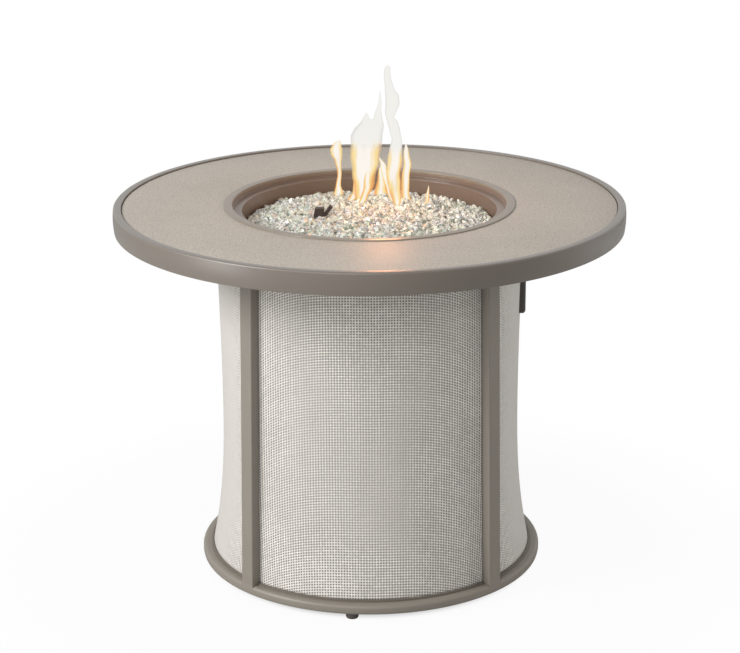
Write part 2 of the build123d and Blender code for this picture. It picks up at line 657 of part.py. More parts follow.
# Posts: square tubes with a groove in each side that holds a panel, leaning in towards the top
POST_FOOT = Z_RING - 12.0
for name, azimuth in POST_AZIMUTHS.items():
    rear = abs(azimuth) > 90
    panel_side = -1 if azimuth > 0 else 1
    sides = (panel_side,) if rear else (1, -1)
    direction, length = lean(azimuth, POST_FOOT, Z_POST)
    with BuildPart() as post:
        with BuildSketch(radial_plane(azimuth, post_radius(POST_FOOT), POST_FOOT)) as post_section:
            with Locations((-POST / 2, 0)):
                RectangleRounded(POST, POST, 2.2)
                RectangleRounded(POST - 2 * POST_WALL, POST - 2 * POST_WALL, 1.0, mode=Mode.SUBTRACT)
            for side in sides:
                with Locations((-GROOVE_DEPTH, side * GROOVE_OFFSET)):
                    Circle(GROOVE_R + 1.5)
                with Locations((-GROOVE_DEPTH, side * (POST / 2 + 1.0))):
                    Rectangle(12.0, 2.0, mode=Mode.SUBTRACT)
                with Locations((-GROOVE_DEPTH, side * GROOVE_OFFSET)):
                    Circle(GROOVE_R, mode=Mode.SUBTRACT)
                with Locations((-GROOVE_DEPTH, side * (GROOVE_OFFSET + 3.0))):
                    Rectangle(2.2, 6.0, mode=Mode.SUBTRACT)
        extrude(amount=length, dir=direction)
        add(ring_envelope.part, mode=Mode.SUBTRACT)
        with Locations((0, 0, FOOT_H)):
            Cylinder(R_RING_IN + 1, RING_H, align=(Align.CENTER, Align.CENTER, Align.MIN), mode=Mode.SUBTRACT)
    post.part.label = name
    export_step(post.part, f"parts/{name}.step")

# Rods that lock the side edges of the three fixed panels in the posts' grooves
with BuildPart() as sling_splines:
    for azimuth in POST_AZIMUTHS.values():
        rear = abs(azimuth) > 90
        panel_side = -1 if azimuth > 0 else 1
        low, high = Z_RING + 0.5, Z_POST - 0.5
        direction, length = lean(azimuth, low, high)
        for side in (panel_side,) if rear else (1, -1):
            with BuildSketch(radial_plane(azimuth, post_radius(low), low)):
                with Locations((-GROOVE_DEPTH, side * GROOVE_OFFSET)):
                    Circle(SPLINE_R)
            extrude(amount=length, dir=direction)
sling_splines.part.label = "sling_splines"
export_step(sling_splines.part, "parts/sling_splines.step")

# Feet: four plugs in the ring's channel, each with a tapered pad on the floor
FOOT_AZIMUTH = -6.4
with BuildPart() as foot_glides:
    for turn in (0, 90, 180, 270):
        with BuildSketch(radial_plane(FOOT_AZIMUTH + turn, R_RING - RING_W / 2, 0)):
            Circle(9.4)
        with BuildSketch(radial_plane(FOOT_AZIMUTH + turn, R_RING - RING_W / 2, FOOT_H)):
            Circle(11.0)
        loft()
        with BuildSketch(radial_plane(FOOT_AZIMUTH + turn, R_RING - RING_W / 2, FOOT_H)):
            Circle(9.5)
        extrude(amount=RING_H - RING_WALL)
    chamfer(foot_glides.edges().group_by(Axis.Z)[-1], length=4.6)
foot_glides.part.label = "foot_glides"
export_step(foot_glides.part, "parts/foot_glides.step")

# Floor of the base: a cross of flat bars in the ring and a vented tray that locates the gas cylinder
BAR_Z = 10.0
BAR_T = 4.0
with BuildPart() as tray_bars:
    with BuildSketch(Plane.XY.offset(BAR_Z)):
        with Locations(Location((0, 0, 0), (0, 0, 45)), Location((0, 0, 0), (0, 0, 135))):
            Rectangle(2 * (R_RING_IN - 0.6), 30.0)
    extrude(amount=BAR_T)
tray_bars.part.label = "tray_bars"
export_step(tray_bars.part, "parts/tray_bars.step")

TRAY_Z = BAR_Z + BAR_T
TRAY_R = 246.0
TRAY_T = 2.0
COLLAR_R = 104.0
COLLAR_H = 26.0
with BuildPart() as tank_tray:
    with BuildSketch(Plane.XY.offset(TRAY_Z)):
        Circle(TRAY_R)
        with PolarLocations(165.0, 4, start_angle=0):
            SlotOverall(90.0, 16.0, rotation=90, mode=Mode.SUBTRACT)
    extrude(amount=TRAY_T)
tank_tray.part.label = "tank_tray"
export_step(tank_tray.part, "parts/tank_tray.step")

with BuildPart() as tank_collar:
    with BuildSketch(Plane.XY.offset(TRAY_Z + TRAY_T)):
        Circle(COLLAR_R + 2.0)
        Circle(COLLAR_R, mode=Mode.SUBTRACT)
    extrude(amount=COLLAR_H)
    fillet(tank_collar.edges().group_by(Axis.Z)[-1], radius=0.8)
tank_collar.part.label = "tank_collar"
export_step(tank_collar.part, "parts/tank_collar.step")

# Rear door: a frame of two leaning stiles and two curved rails, hung on the rear left post
DOOR_LOW = 31.0
DOOR_HIGH = 541.0
RAIL_H = 14.0
RAIL_HALF = 6.0
STILE_NEAR = 15.5
STILE_FAR = 29.5
STILE_FRONT = -9.5
STILE_BACK = -21.5
HINGE_AZIMUTH = POST_AZIMUTHS["post_rear_left"]
LATCH_AZIMUTH = POST_AZIMUTHS["post_rear_right"]
HINGE_RADIUS = 268.0
HINGE_OFFSET = 19.0
HINGE_AXIS = outward(HINGE_AZIMUTH, HINGE_RADIUS, -HINGE_OFFSET)
HINGE_LEVELS = (90.0, 430.0)
KNUCKLE_R = 4.5
PIN_R = 2.5
KNUCKLE_H = 12.0
MIDDLE_H = 15.0
KNUCKLE_GAP = 0.3
with BuildPart() as door_frame:
    for azimuth, side in ((HINGE_AZIMUTH, -1), (LATCH_AZIMUTH, 1)):
        direction, length = lean(azimuth, DOOR_LOW, DOOR_HIGH)
        with BuildSketch(radial_plane(azimuth, post_radius(DOOR_LOW), DOOR_LOW)):
            with Locations(((STILE_FRONT + STILE_BACK) / 2, side * (STILE_NEAR + STILE_FAR) / 2)):
                RectangleRounded(STILE_FRONT - STILE_BACK, STILE_FAR - STILE_NEAR, 1.2)
            with Locations((-GROOVE_DEPTH, side * STILE_FAR)):
                Rectangle(3.4, 7.0, mode=Mode.SUBTRACT)
        extrude(amount=length, dir=direction)
    for low, high in ((DOOR_LOW, DOOR_LOW + RAIL_H), (DOOR_HIGH - RAIL_H, DOOR_HIGH)):
        with BuildSketch(panel_plane(180.0, low)):
            arc_strip(low, -RAIL_HALF, RAIL_HALF, DOOR_GRIP, -8.0)
        with BuildSketch(panel_plane(180.0, high)):
            arc_strip(high, -RAIL_HALF, RAIL_HALF, DOOR_GRIP, -8.0)
        loft(ruled=True)
    for low, high in ((DOOR_LOW + RAIL_H - 4, DOOR_LOW + RAIL_H + 1), (DOOR_HIGH - RAIL_H - 1, DOOR_HIGH - RAIL_H + 4)):
        with BuildSketch(panel_plane(180.0, low)):
            arc_strip(low, -1.3, 1.3, DOOR_GRIP, -0.5)
        with BuildSketch(panel_plane(180.0, high)):
            arc_strip(high, -1.3, 1.3, DOOR_GRIP, -0.5)
        loft(ruled=True, mode=Mode.SUBTRACT)
    for level in HINGE_LEVELS:
        base = level + KNUCKLE_H + KNUCKLE_GAP
        axis_x = HINGE_RADIUS - post_radius(base)
        with BuildSketch(radial_plane(HINGE_AZIMUTH, post_radius(base), base)):
            with Locations((axis_x, -HINGE_OFFSET)):
                Circle(KNUCKLE_R)
            with Locations((axis_x, -HINGE_OFFSET - 4.5)):
                Rectangle(4.0, 9.0)
            with Locations(((axis_x + 2.0 + STILE_FRONT - 2.0) / 2, -HINGE_OFFSET - 6.5)):
                Rectangle(axis_x + 2.0 - STILE_FRONT + 2.0, 5.0)
        extrude(amount=MIDDLE_H)
        with BuildSketch(Plane.XY.offset(base)):
            with Locations(HINGE_AXIS):
                Circle(PIN_R + 0.05)
        extrude(amount=MIDDLE_H, mode=Mode.SUBTRACT)
door_frame.part.label = "door_frame"
export_step(door_frame.part, "parts/door_frame.step")

with BuildPart() as sling_door:
    for height in (DOOR_LOW + RAIL_H - 3.2, 80.0, 130.0, 190.0, 250.0, 320.0, 390.0, 460.0, DOOR_HIGH - RAIL_H + 3.2):
        with BuildSketch(panel_plane(180.0, height)):
            arc_strip(height, -CLOTH / 2, CLOTH / 2, DOOR_GRIP)
    loft()
sling_door.part.label = "sling_door"
export_step(sling_door.part, "parts/sling_door.step")

# Hinges: two fixed knuckles on a leaf on the post, with a pin, at each level
with BuildPart() as hinge_brackets:
    for level in HINGE_LEVELS:
        upper = level + KNUCKLE_H + 2 * KNUCKLE_GAP + MIDDLE_H
        axis_x = HINGE_RADIUS - post_radius(level)
        leaf_x = axis_x - 5.0
        with BuildSketch(radial_plane(HINGE_AZIMUTH, post_radius(level), level)):
            with Locations((leaf_x, -POST / 2 - 1.0)):
                Rectangle(14.0, 2.0)
        extrude(amount=upper + KNUCKLE_H - level)
        for low in (level, upper):
            with BuildSketch(radial_plane(HINGE_AZIMUTH, post_radius(level), low)):
                with Locations((axis_x, -HINGE_OFFSET)):
                    Circle(KNUCKLE_R)
                with Locations((axis_x, -(HINGE_OFFSET + POST / 2) / 2)):
                    Rectangle(4.0, HINGE_OFFSET - POST / 2)
            extrude(amount=KNUCKLE_H)
        with BuildSketch(Plane.XY.offset(level)):
            with Locations(HINGE_AXIS):
                Circle(PIN_R)
        extrude(amount=upper + KNUCKLE_H - level, mode=Mode.SUBTRACT)
hinge_brackets.part.label = "hinge_brackets"
export_step(hinge_brackets.part, "parts/hinge_brackets.step")

with BuildPart() as hinge_pins:
    for level in HINGE_LEVELS:
        with BuildSketch(Plane.XY.offset(level)):
            with Locations(HINGE_AXIS):
                Circle(PIN_R)
        extrude(amount=2 * KNUCKLE_H + 2 * KNUCKLE_GAP + MIDDLE_H)
        with BuildSketch(Plane.XY.offset(level + 2 * KNUCKLE_H + 2 * KNUCKLE_GAP + MIDDLE_H)):
            with Locations(HINGE_AXIS):
                Circle(PIN_R + 1.2)
        extrude(amount=1.6)
hinge_pins.part.label = "hinge_pins"
export_step(hinge_pins.part, "parts/hinge_pins.step")

# Pull on the door's free stile, and the magnet catch above it
PULL_LOW = 255.0
PULL_H = 76.0
PULL_STAND = 14.0
with BuildPart() as door_pull:
    with BuildSketch(radial_plane(LATCH_AZIMUTH, post_radius(PULL_LOW), PULL_LOW)):
        with Locations(((STILE_FRONT - 3 + PULL_STAND) / 2, (STILE_NEAR + STILE_FAR) / 2)):
            Rectangle(PULL_STAND - STILE_FRONT + 3, 10.0)
    extrude(amount=PULL_H)
    with BuildSketch(radial_plane(LATCH_AZIMUTH, post_radius(PULL_LOW), PULL_LOW + 7.0)):
        with Locations(((STILE_FRONT - 6 + PULL_STAND - 5) / 2, (STILE_NEAR + STILE_FAR) / 2)):
            Rectangle(PULL_STAND - 5 - STILE_FRONT + 6, 11.0)
    extrude(amount=PULL_H - 14.0, mode=Mode.SUBTRACT)
    add(door_frame.part, mode=Mode.SUBTRACT)
    fillet(door_pull.edges().filter_by(Axis.Z).group_by(Axis.Y)[-1], radius=2.0)
door_pull.part.label = "door_pull"
export_step(door_pull.part, "parts/door_pull.step")

CATCH_AZIMUTH = 156.0
CATCH_R = 245.0
with BuildPart() as catch_magnet:
    with BuildSketch(radial_plane(CATCH_AZIMUTH, CATCH_R, Z_POST)):
        Rectangle(12.0, 40.0)
    extrude(amount=-(Z_POST - DOOR_HIGH - 1.9))
catch_magnet.part.label = "catch_magnet"
export_step(catch_magnet.part, "parts/catch_magnet.step")

with BuildPart() as catch_plate:
    with BuildSketch(radial_plane(CATCH_AZIMUTH, CATCH_R, DOOR_HIGH)):
        Rectangle(10.0, 36.0)
    extrude(amount=1.5)
catch_plate.part.label = "catch_plate"
export_step(catch_plate.part, "parts/catch_plate.step")

# Control plate: a shallow tray whose skirt is cut to the cloth that it stands on
PLATE_X = 243.5
PLATE_T = 2.5
KNOB_Z = 492.0
IGNITER_Y = 24.0
SCREW_YZ = tuple((y, z) for y in (-34.0, 34.0) for z in (441.0, 510.0))
BRACKET_X = 232.0
BRACKET_T = 3.0
with BuildPart() as sling_core:
    for height in (398.0, 440.0, 490.0, Z_POST):
        with BuildSketch(panel_plane(90.0, height)):
            arc_strip(height, -40.0, CLOTH / 2 + 0.2)
    loft()

with BuildPart() as control_plate:
    with BuildSketch(Plane.YZ.offset(PLATE_X)):
        with Locations((0, (PLATE_LOW + PLATE_HIGH) / 2)):
            RectangleRounded(PLATE_W, PLATE_HIGH - PLATE_LOW, 6.0)
    extrude(amount=-20.0)
    chamfer(control_plate.faces().sort_by(Axis.X)[-1].edges(), length=3.0)
    with BuildSketch(Plane.YZ.offset(PLATE_X - PLATE_T)):
        with Locations((0, (PLATE_LOW + PLATE_HIGH) / 2)):
            RectangleRounded(PLATE_W - 2 * PLATE_T, PLATE_HIGH - PLATE_LOW - 2 * PLATE_T, 4.0)
    extrude(amount=-20.0, mode=Mode.SUBTRACT)
    add(sling_core.part, mode=Mode.SUBTRACT)
    with BuildSketch(Plane.YZ.offset(BRACKET_X + BRACKET_T)):
        with Locations(*SCREW_YZ):
            Circle(4.0)
    extrude(amount=PLATE_X - PLATE_T - BRACKET_X - BRACKET_T)
    with BuildSketch(Plane.YZ.offset(BRACKET_X)):
        with Locations(*SCREW_YZ):
            Circle(1.9)
        with Locations((VALVE_Y, KNOB_Z)):
            Circle(6.0)
        with Locations((IGNITER_Y, KNOB_Z)):
            Circle(11.2)
    extrude(amount=PLATE_X - BRACKET_X, mode=Mode.SUBTRACT)
    for screw_y, screw_z in SCREW_YZ:
        with BuildSketch(Plane.YZ.offset(PLATE_X)):
            with Locations((screw_y, screw_z)):
                Circle(3.7)
        with BuildSketch(Plane.YZ.offset(PLATE_X - 1.8)):
            with Locations((screw_y, screw_z)):
                Circle(1.9)
        loft(mode=Mode.SUBTRACT)
control_plate.part.label = "control_plate"
export_step(control_plate.part, "parts/control_plate.step")

with BuildPart() as control_screws:
    for screw_y, screw_z in SCREW_YZ:
        with BuildSketch(Plane.YZ.offset(PLATE_X)):
            with Locations((screw_y, screw_z)):
                Circle(3.7)
        with BuildSketch(Plane.YZ.offset(PLATE_X - 1.8)):
            with Locations((screw_y, screw_z)):
                Circle(1.9)
        loft()
        with BuildSketch(Plane.YZ.offset(PLATE_X - 1.8)):
            with Locations((screw_y, screw_z)):
                Circle(1.9)
        extrude(amount=-(PLATE_X - 1.8 - BRACKET_X + 2.0))
control_screws.part.label = "control_screws"
export_step(control_screws.part, "parts/control_screws.step")

# Bracket: a plate hooked over the top ring, which holds valve, igniter and control plate
HOOK_Z = Z_RIM + BRACKET_T
with BuildPart() as control_bracket:
    with BuildSketch(Plane.YZ.offset(BRACKET_X)):
        with Locations((0, 481.0)):
            Rectangle(80.0, 94.0)
        with Locations((0, (528.0 + HOOK_Z) / 2)):
            Rectangle(60.0, HOOK_Z - 528.0)
        with Locations((VALVE_Y, KNOB_Z)):
            Circle(6.2, mode=Mode.SUBTRACT)
        with Locations((IGNITER_Y, KNOB_Z)):
            Circle(11.2, mode=Mode.SUBTRACT)
        with Locations(*SCREW_YZ):
            Circle(1.9, mode=Mode.SUBTRACT)
    extrude(amount=BRACKET_T)
    with BuildSketch(Plane.XY.offset(Z_RIM)):
        with Locations(((BRACKET_X + 258.0) / 2, 0)):
            Rectangle(258.0 - BRACKET_X, 60.0)
    extrude(amount=BRACKET_T)
control_bracket.part.label = "control_bracket"
export_step(control_bracket.part, "parts/control_bracket.step")

# Valve: body with a bore, turning plug, bonnet and nut; inlet for the supply hose underneath
VALVE_FRONT = 214.0
PLUG_BORE = 8.0
INLET_X = 188.0
with BuildPart() as valve_body:
    with BuildSketch(Plane.YZ.offset(VALVE_BACK)):
        with Locations((VALVE_Y, GAS_Z)):
            RectangleRounded(34.0, 28.0, 3.0)
    extrude(amount=VALVE_FRONT - VALVE_BACK)
    with BuildSketch(Plane.YZ.offset(TUBE_START)):
        with Locations((VALVE_Y, GAS_Z)):
            Circle(6.5)
    extrude(amount=VALVE_BACK - TUBE_START)
    with BuildSketch(Plane.YZ.offset(VALVE_BACK - 4.5)):
        with Locations((VALVE_Y - 12.0, GAS_Z)):
            Circle(3.5)
    extrude(amount=4.5)
    with BuildSketch(Plane.XY.offset(470.0)):
        with Locations((INLET_X, VALVE_Y)):
            Circle(9.5)
    extrude(amount=12.0)
    with BuildSketch(Plane.YZ.offset(VALVE_FRONT)):
        with Locations((VALVE_Y, GAS_Z)):
            Circle(PLUG_BORE)
    extrude(amount=-36.0, mode=Mode.SUBTRACT)
    with BuildSketch(Plane.YZ.offset(TUBE_START)):
        with Locations((VALVE_Y, GAS_Z)):
            Circle(3.0)
    extrude(amount=20.0, mode=Mode.SUBTRACT)
    with BuildSketch(Plane.YZ.offset(VALVE_BACK - 4.5)):
        with Locations((VALVE_Y - 12.0, GAS_Z)):
            Circle(1.55)
    extrude(amount=7.5, mode=Mode.SUBTRACT)
    with BuildSketch(Plane.XY.offset(470.0)):
        with Locations((INLET_X, VALVE_Y)):
            Circle(3.5)
    extrude(amount=20.0, mode=Mode.SUBTRACT)
valve_body.part.label = "valve_body"
export_step(valve_body.part, "parts/valve_body.step")

with BuildPart() as valve_inlet:
    with BuildSketch(Plane.XY.offset(470.0)):
        with Locations((INLET_X, VALVE_Y)):
            RegularPolygon(10.5, 6)
    extrude(amount=-8.0)
    with BuildSketch(Plane.XY.offset(462.0)):
        with Locations((INLET_X, VALVE_Y)):
            Circle(7.9)
    extrude(amount=-14.0)
    with BuildSketch(Plane.XY.offset(470.0)):
        with Locations((INLET_X, VALVE_Y)):
            Circle(3.5)
    extrude(amount=-22.0, mode=Mode.SUBTRACT)
valve_inlet.part.label = "valve_inlet"
export_step(valve_inlet.part, "parts/valve_inlet.step")

PLUG_FRONT = 204.0
SPINDLE_R = 4.0
SPINDLE_IN = 197.5
SPINDLE_OUT = 263.0
FLAT = 3.0
with BuildPart() as valve_plug:
    with BuildSketch(Plane.YZ.offset(VALVE_FRONT - 35.8)):
        with Locations((VALVE_Y, GAS_Z)):
            Circle(PLUG_BORE - 0.05)
    extrude(amount=PLUG_FRONT - VALVE_FRONT + 35.8)
    with BuildSketch(Plane.YZ.offset(PLUG_FRONT)):
        with Locations((VALVE_Y, GAS_Z)):
            Circle(SPINDLE_R + 0.05)
        with Locations((VALVE_Y, GAS_Z + FLAT + 0.05 + 2.0)):
            Rectangle(10.0, 4.0, mode=Mode.SUBTRACT)
    extrude(amount=-10.0, mode=Mode.SUBTRACT)
    with BuildSketch(Plane.YZ.offset(VALVE_FRONT - 35.8)):
        with Locations((VALVE_Y, GAS_Z)):
            Circle(2.5)
    extrude(amount=12.0, mode=Mode.SUBTRACT)
    with BuildSketch(Plane.XZ.offset(-VALVE_Y)):
        with Locations((INLET_X, GAS_Z)):
            Circle(2.5)
    extrude(amount=PLUG_BORE, mode=Mode.SUBTRACT)
valve_plug.part.label = "valve_plug"
export_step(valve_plug.part, "parts/valve_plug.step")

with BuildPart() as valve_bonnet:
    with BuildSketch(Plane.YZ.offset(VALVE_FRONT)):
        with Locations((VALVE_Y, GAS_Z)):
            RectangleRounded(34.0, 28.0, 3.0)
    extrude(amount=4.0)
    with BuildSketch(Plane.YZ.offset(VALVE_FRONT + 4.0)):
        with Locations((VALVE_Y, GAS_Z)):
            Circle(9.0)
    extrude(amount=BRACKET_X - VALVE_FRONT - 4.0)
    with BuildSketch(Plane.YZ.offset(BRACKET_X)):
        with Locations((VALVE_Y, GAS_Z)):
            Circle(6.0)
    extrude(amount=7.0)
    with BuildSketch(Plane.YZ.offset(VALVE_FRONT)):
        with Locations((VALVE_Y, GAS_Z)):
            Circle(SPINDLE_R + 0.05)
    extrude(amount=30.0, mode=Mode.SUBTRACT)
valve_bonnet.part.label = "valve_bonnet"
export_step(valve_bonnet.part, "parts/valve_bonnet.step")

with BuildPart() as valve_spindle:
    with BuildSketch(Plane.YZ.offset(SPINDLE_IN)):
        with Locations((VALVE_Y, GAS_Z)):
            Circle(SPINDLE_R)
    extrude(amount=SPINDLE_OUT - SPINDLE_IN)
    for low, high in ((SPINDLE_IN, 209.5), (244.5, SPINDLE_OUT)):
        with BuildSketch(Plane.YZ.offset(low)):
            with Locations((VALVE_Y, GAS_Z + FLAT + 2.0)):
                Rectangle(10.0, 4.0)
        extrude(amount=high - low, mode=Mode.SUBTRACT)
    with BuildSketch(Plane.YZ.offset(211.0)):
        with Locations((VALVE_Y, GAS_Z)):
            Circle(7.4)
    extrude(amount=2.8)
valve_spindle.part.label = "valve_spindle"
export_step(valve_spindle.part, "parts/valve_spindle.step")

with BuildPart() as spindle_spring:
    with BuildSketch(Plane.YZ.offset(PLUG_FRONT + 0.1)):
        with Locations((VALVE_Y, GAS_Z)):
            Circle(6.6)
            Circle(5.4, mode=Mode.SUBTRACT)
    extrude(amount=6.8)
spindle_spring.part.label = "spindle_spring"
export_step(spindle_spring.part, "parts/spindle_spring.step")

# Knob: a skirt, a fluted grip and a raised index bar on its face
KNOB_BACK = 247.0
KNOB_FACE = 271.0
with BuildPart() as control_knob:
    with BuildSketch(Plane.YZ.offset(KNOB_BACK)):
        with Locations((VALVE_Y, KNOB_Z)):
            Circle(20.0)
    extrude(amount=4.0)
    with BuildSketch(Plane.YZ.offset(KNOB_BACK + 4.0)):
        with Locations((VALVE_Y, KNOB_Z)):
            Circle(16.5)
    extrude(amount=KNOB_FACE - KNOB_BACK - 4.0, taper=2.0)
    with BuildSketch(Plane.YZ.offset(KNOB_BACK + 6.0)):
        with Locations((VALVE_Y, KNOB_Z)):
            with PolarLocations(19.0, 10, start_angle=18):
                Circle(4.0)
    extrude(amount=KNOB_FACE - KNOB_BACK, mode=Mode.SUBTRACT)
    with BuildSketch(Plane.YZ.offset(KNOB_FACE)):
        with Locations((VALVE_Y, KNOB_Z + 7.0)):
            Rectangle(3.0, 11.0)
    extrude(amount=1.2)
    with BuildSketch(Plane.YZ.offset(KNOB_BACK)):
        with Locations((VALVE_Y, KNOB_Z)):
            Circle(SPINDLE_R)
    extrude(amount=SPINDLE_OUT - KNOB_BACK, mode=Mode.SUBTRACT)
    with BuildSketch(Plane.YZ.offset(KNOB_BACK + 2.0)):
        with Locations((VALVE_Y, KNOB_Z + FLAT + 1.0)):
            Rectangle(8.0, 2.0)
    extrude(amount=SPINDLE_OUT - KNOB_BACK - 2.0)
control_knob.part.label = "control_knob"
export_step(control_knob.part, "parts/control_knob.step")

# Igniter: battery housing with a nut behind the bracket, a bezel in front and a sprung button
IGNITER_BACK = 168.0
with BuildPart() as igniter_body:
    with BuildSketch(Plane.YZ.offset(IGNITER_BACK)):
        with Locations((IGNITER_Y, GAS_Z)):
            Circle(11.0)
    extrude(amount=240.0 - IGNITER_BACK)
    with BuildSketch(Plane.YZ.offset(IGNITER_BACK - 8.0)):
        with Locations((IGNITER_Y, GAS_Z)):
            Circle(2.5)
    extrude(amount=8.0)
    with BuildSketch(Plane.YZ.offset(IGNITER_BACK + 3.0)):
        with Locations((IGNITER_Y, GAS_Z)):
            Circle(7.6)
    extrude(amount=72.0, mode=Mode.SUBTRACT)
    with BuildSketch(Plane.YZ.offset(231.0)):
        with Locations((IGNITER_Y, GAS_Z)):
            Circle(9.3)
    extrude(amount=9.0, mode=Mode.SUBTRACT)
igniter_body.part.label = "igniter_body"
export_step(igniter_body.part, "parts/igniter_body.step")

with BuildPart() as igniter_bezel:
    with BuildSketch(Plane.YZ.offset(240.0)):
        with Locations((IGNITER_Y, GAS_Z)):
            Circle(11.0)
            Circle(9.3, mode=Mode.SUBTRACT)
    extrude(amount=PLATE_X - 240.0)
    with BuildSketch(Plane.YZ.offset(PLATE_X)):
        with Locations((IGNITER_Y, GAS_Z)):
            Circle(14.5)
            Circle(8.1, mode=Mode.SUBTRACT)
    extrude(amount=3.0)
    chamfer(igniter_bezel.faces().sort_by(Axis.X)[-1].edges().sort_by(SortBy.RADIUS)[-1], length=1.2)
igniter_bezel.part.label = "igniter_bezel"
export_step(igniter_bezel.part, "parts/igniter_bezel.step")

# Nuts on the bracket: the valve's in front of it, the igniter's behind it
with BuildPart() as bracket_nuts:
    with BuildSketch(Plane.YZ.offset(BRACKET_X + BRACKET_T)):
        with Locations((VALVE_Y, GAS_Z)):
            RegularPolygon(9.8, 6)
            Circle(6.0, mode=Mode.SUBTRACT)
    extrude(amount=3.8)
    with BuildSketch(Plane.YZ.offset(BRACKET_X - 5.0)):
        with Locations((IGNITER_Y, GAS_Z)):
            RegularPolygon(15.5, 6)
            Circle(11.0, mode=Mode.SUBTRACT)
    extrude(amount=5.0)
bracket_nuts.part.label = "bracket_nuts"
export_step(bracket_nuts.part, "parts/bracket_nuts.step")

with BuildPart() as igniter_battery:
    with BuildSketch(Plane.YZ.offset(IGNITER_BACK + 3.0)):
        with Locations((IGNITER_Y, GAS_Z)):
            Circle(7.1)
    extrude(amount=49.0)
    with BuildSketch(Plane.YZ.offset(IGNITER_BACK + 52.0)):
        with Locations((IGNITER_Y, GAS_Z)):
            Circle(2.7)
    extrude(amount=1.4)
igniter_battery.part.label = "igniter_battery"
export_step(igniter_battery.part, "parts/igniter_battery.step")

BUTTON_BACK = 239.1
with BuildPart() as igniter_button:
    with BuildSketch(Plane.YZ.offset(BUTTON_BACK)):
        with Locations((IGNITER_Y, GAS_Z)):
            Circle(9.2)
    extrude(amount=4.1)
    with BuildSketch(Plane.YZ.offset(BUTTON_BACK + 4.1)):
        with Locations((IGNITER_Y, GAS_Z)):
            Circle(8.0)
    extrude(amount=7.4)
    fillet(igniter_button.faces().sort_by(Axis.X)[-1].edges(), radius=1.2)
igniter_button.part.label = "igniter_button"
export_step(igniter_button.part, "parts/igniter_button.step")

SPRING_BACK = IGNITER_BACK + 53.6
with BuildPart() as igniter_spring:
    with BuildSketch(Plane.YZ.offset(SPRING_BACK)):
        with Locations((IGNITER_Y, GAS_Z)):
            Circle(5.5)
            Circle(4.5, mode=Mode.SUBTRACT)
    extrude(amount=BUTTON_BACK - 0.1 - SPRING_BACK)
igniter_spring.part.label = "igniter_spring"
export_step(igniter_spring.part, "parts/igniter_spring.step")

# Leads clipped along the underside of the bowl: spark lead on one side, sensor lead on the other
LEAD_R = 1.5
CLIP_Z = 497.0
CLIP_Y = 36.0
LEAD_ROUTES = {
    "igniter_lead": (
        (IGNITER_BACK - 8.0, IGNITER_Y, GAS_Z),
        (136.0, IGNITER_Y, GAS_Z),
        (104.0, CLIP_Y, CLIP_Z),
        (-34.0, CLIP_Y, CLIP_Z),
        (ELECTRODE_XY[0], ELECTRODE_XY[1], 482.0),
        (ELECTRODE_XY[0], ELECTRODE_XY[1], LEAD_Z),
    ),
    "thermocouple_lead": (
        (VALVE_BACK + 3.0, VALVE_Y - 12.0, GAS_Z),
        (136.0, VALVE_Y - 12.0, GAS_Z),
        (104.0, -CLIP_Y - 4.0, CLIP_Z),
        (-30.0, -CLIP_Y - 4.0, CLIP_Z),
        (THERMO_XY[0], THERMO_XY[1], 482.0),
        (THERMO_XY[0], THERMO_XY[1], LEAD_Z),
    ),
}
LEAD_RADII = [30.0, 30.0, 22.0, 10.0]
for name, route in LEAD_ROUTES.items():
    with BuildPart() as lead:
        with BuildLine() as lead_line:
            FilletPolyline(*route, radius=LEAD_RADII)
        with BuildSketch(Plane(origin=lead_line.line @ 0, z_dir=lead_line.line % 0)):
            Circle(LEAD_R)
        sweep()
    lead.part.label = name
    export_step(lead.part, f"parts/{name}.step")
    print(name, "radii", LEAD_RADII, "volume", round(lead.part.volume),
          "section x length", round(pi * LEAD_R**2 * lead_line.wires()[0].length))

with BuildPart() as lead_clips:
    clip_places = [(x, y) for x in (70.0, -10.0) for y in (CLIP_Y, -CLIP_Y - 4.0)]
    with BuildSketch(Plane.XY.offset(CLIP_Z - 4.0)):
        with Locations(*clip_places):
            Rectangle(8.0, 7.0)
    extrude(amount=BOWL_FLOOR_Z - SHEET - CLIP_Z + 4.0)
    for clip_x, clip_y in clip_places:
        with BuildSketch(Plane.YZ.offset(clip_x - 5.0)):
            with Locations((clip_y, CLIP_Z)):
                Circle(LEAD_R)
        extrude(amount=10.0, mode=Mode.SUBTRACT)
lead_clips.part.label = "lead_clips"
export_step(lead_clips.part, "parts/lead_clips.step")
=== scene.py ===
"""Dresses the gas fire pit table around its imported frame: rolled rim, cast stone top, bowl with crushed
glass, stretched mesh panels, tube base and controls, on a plain pale stage with soft light."""

from functools import partialmethod
from math import cos, pi, radians, sin

import bmesh
import bpy
import numpy as np
from bpy.props import FloatProperty, FloatVectorProperty, IntProperty, PointerProperty
from bpy.types import Operator, Panel, PropertyGroup
from mathutils import Matrix, Vector


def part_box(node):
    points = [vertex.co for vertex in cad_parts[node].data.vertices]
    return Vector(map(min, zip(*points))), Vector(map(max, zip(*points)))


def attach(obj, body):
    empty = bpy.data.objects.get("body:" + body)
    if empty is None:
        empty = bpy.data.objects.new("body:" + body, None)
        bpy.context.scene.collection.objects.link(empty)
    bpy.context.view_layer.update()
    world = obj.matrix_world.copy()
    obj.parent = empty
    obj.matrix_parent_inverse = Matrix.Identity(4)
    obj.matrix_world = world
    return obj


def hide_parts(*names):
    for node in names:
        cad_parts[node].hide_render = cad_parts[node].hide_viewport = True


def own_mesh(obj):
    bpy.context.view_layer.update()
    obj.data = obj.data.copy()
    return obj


bl_info = {
    "name": "Fire pit table dresser",
    "version": (1, 0, 0),
    "blender": (4, 5, 0),
    "location": "View3D > Sidebar > Fire Pit",
    "description": "Makes the visible pieces and finishes of a round gas fire pit table on its frame",
    "category": "Object",
}

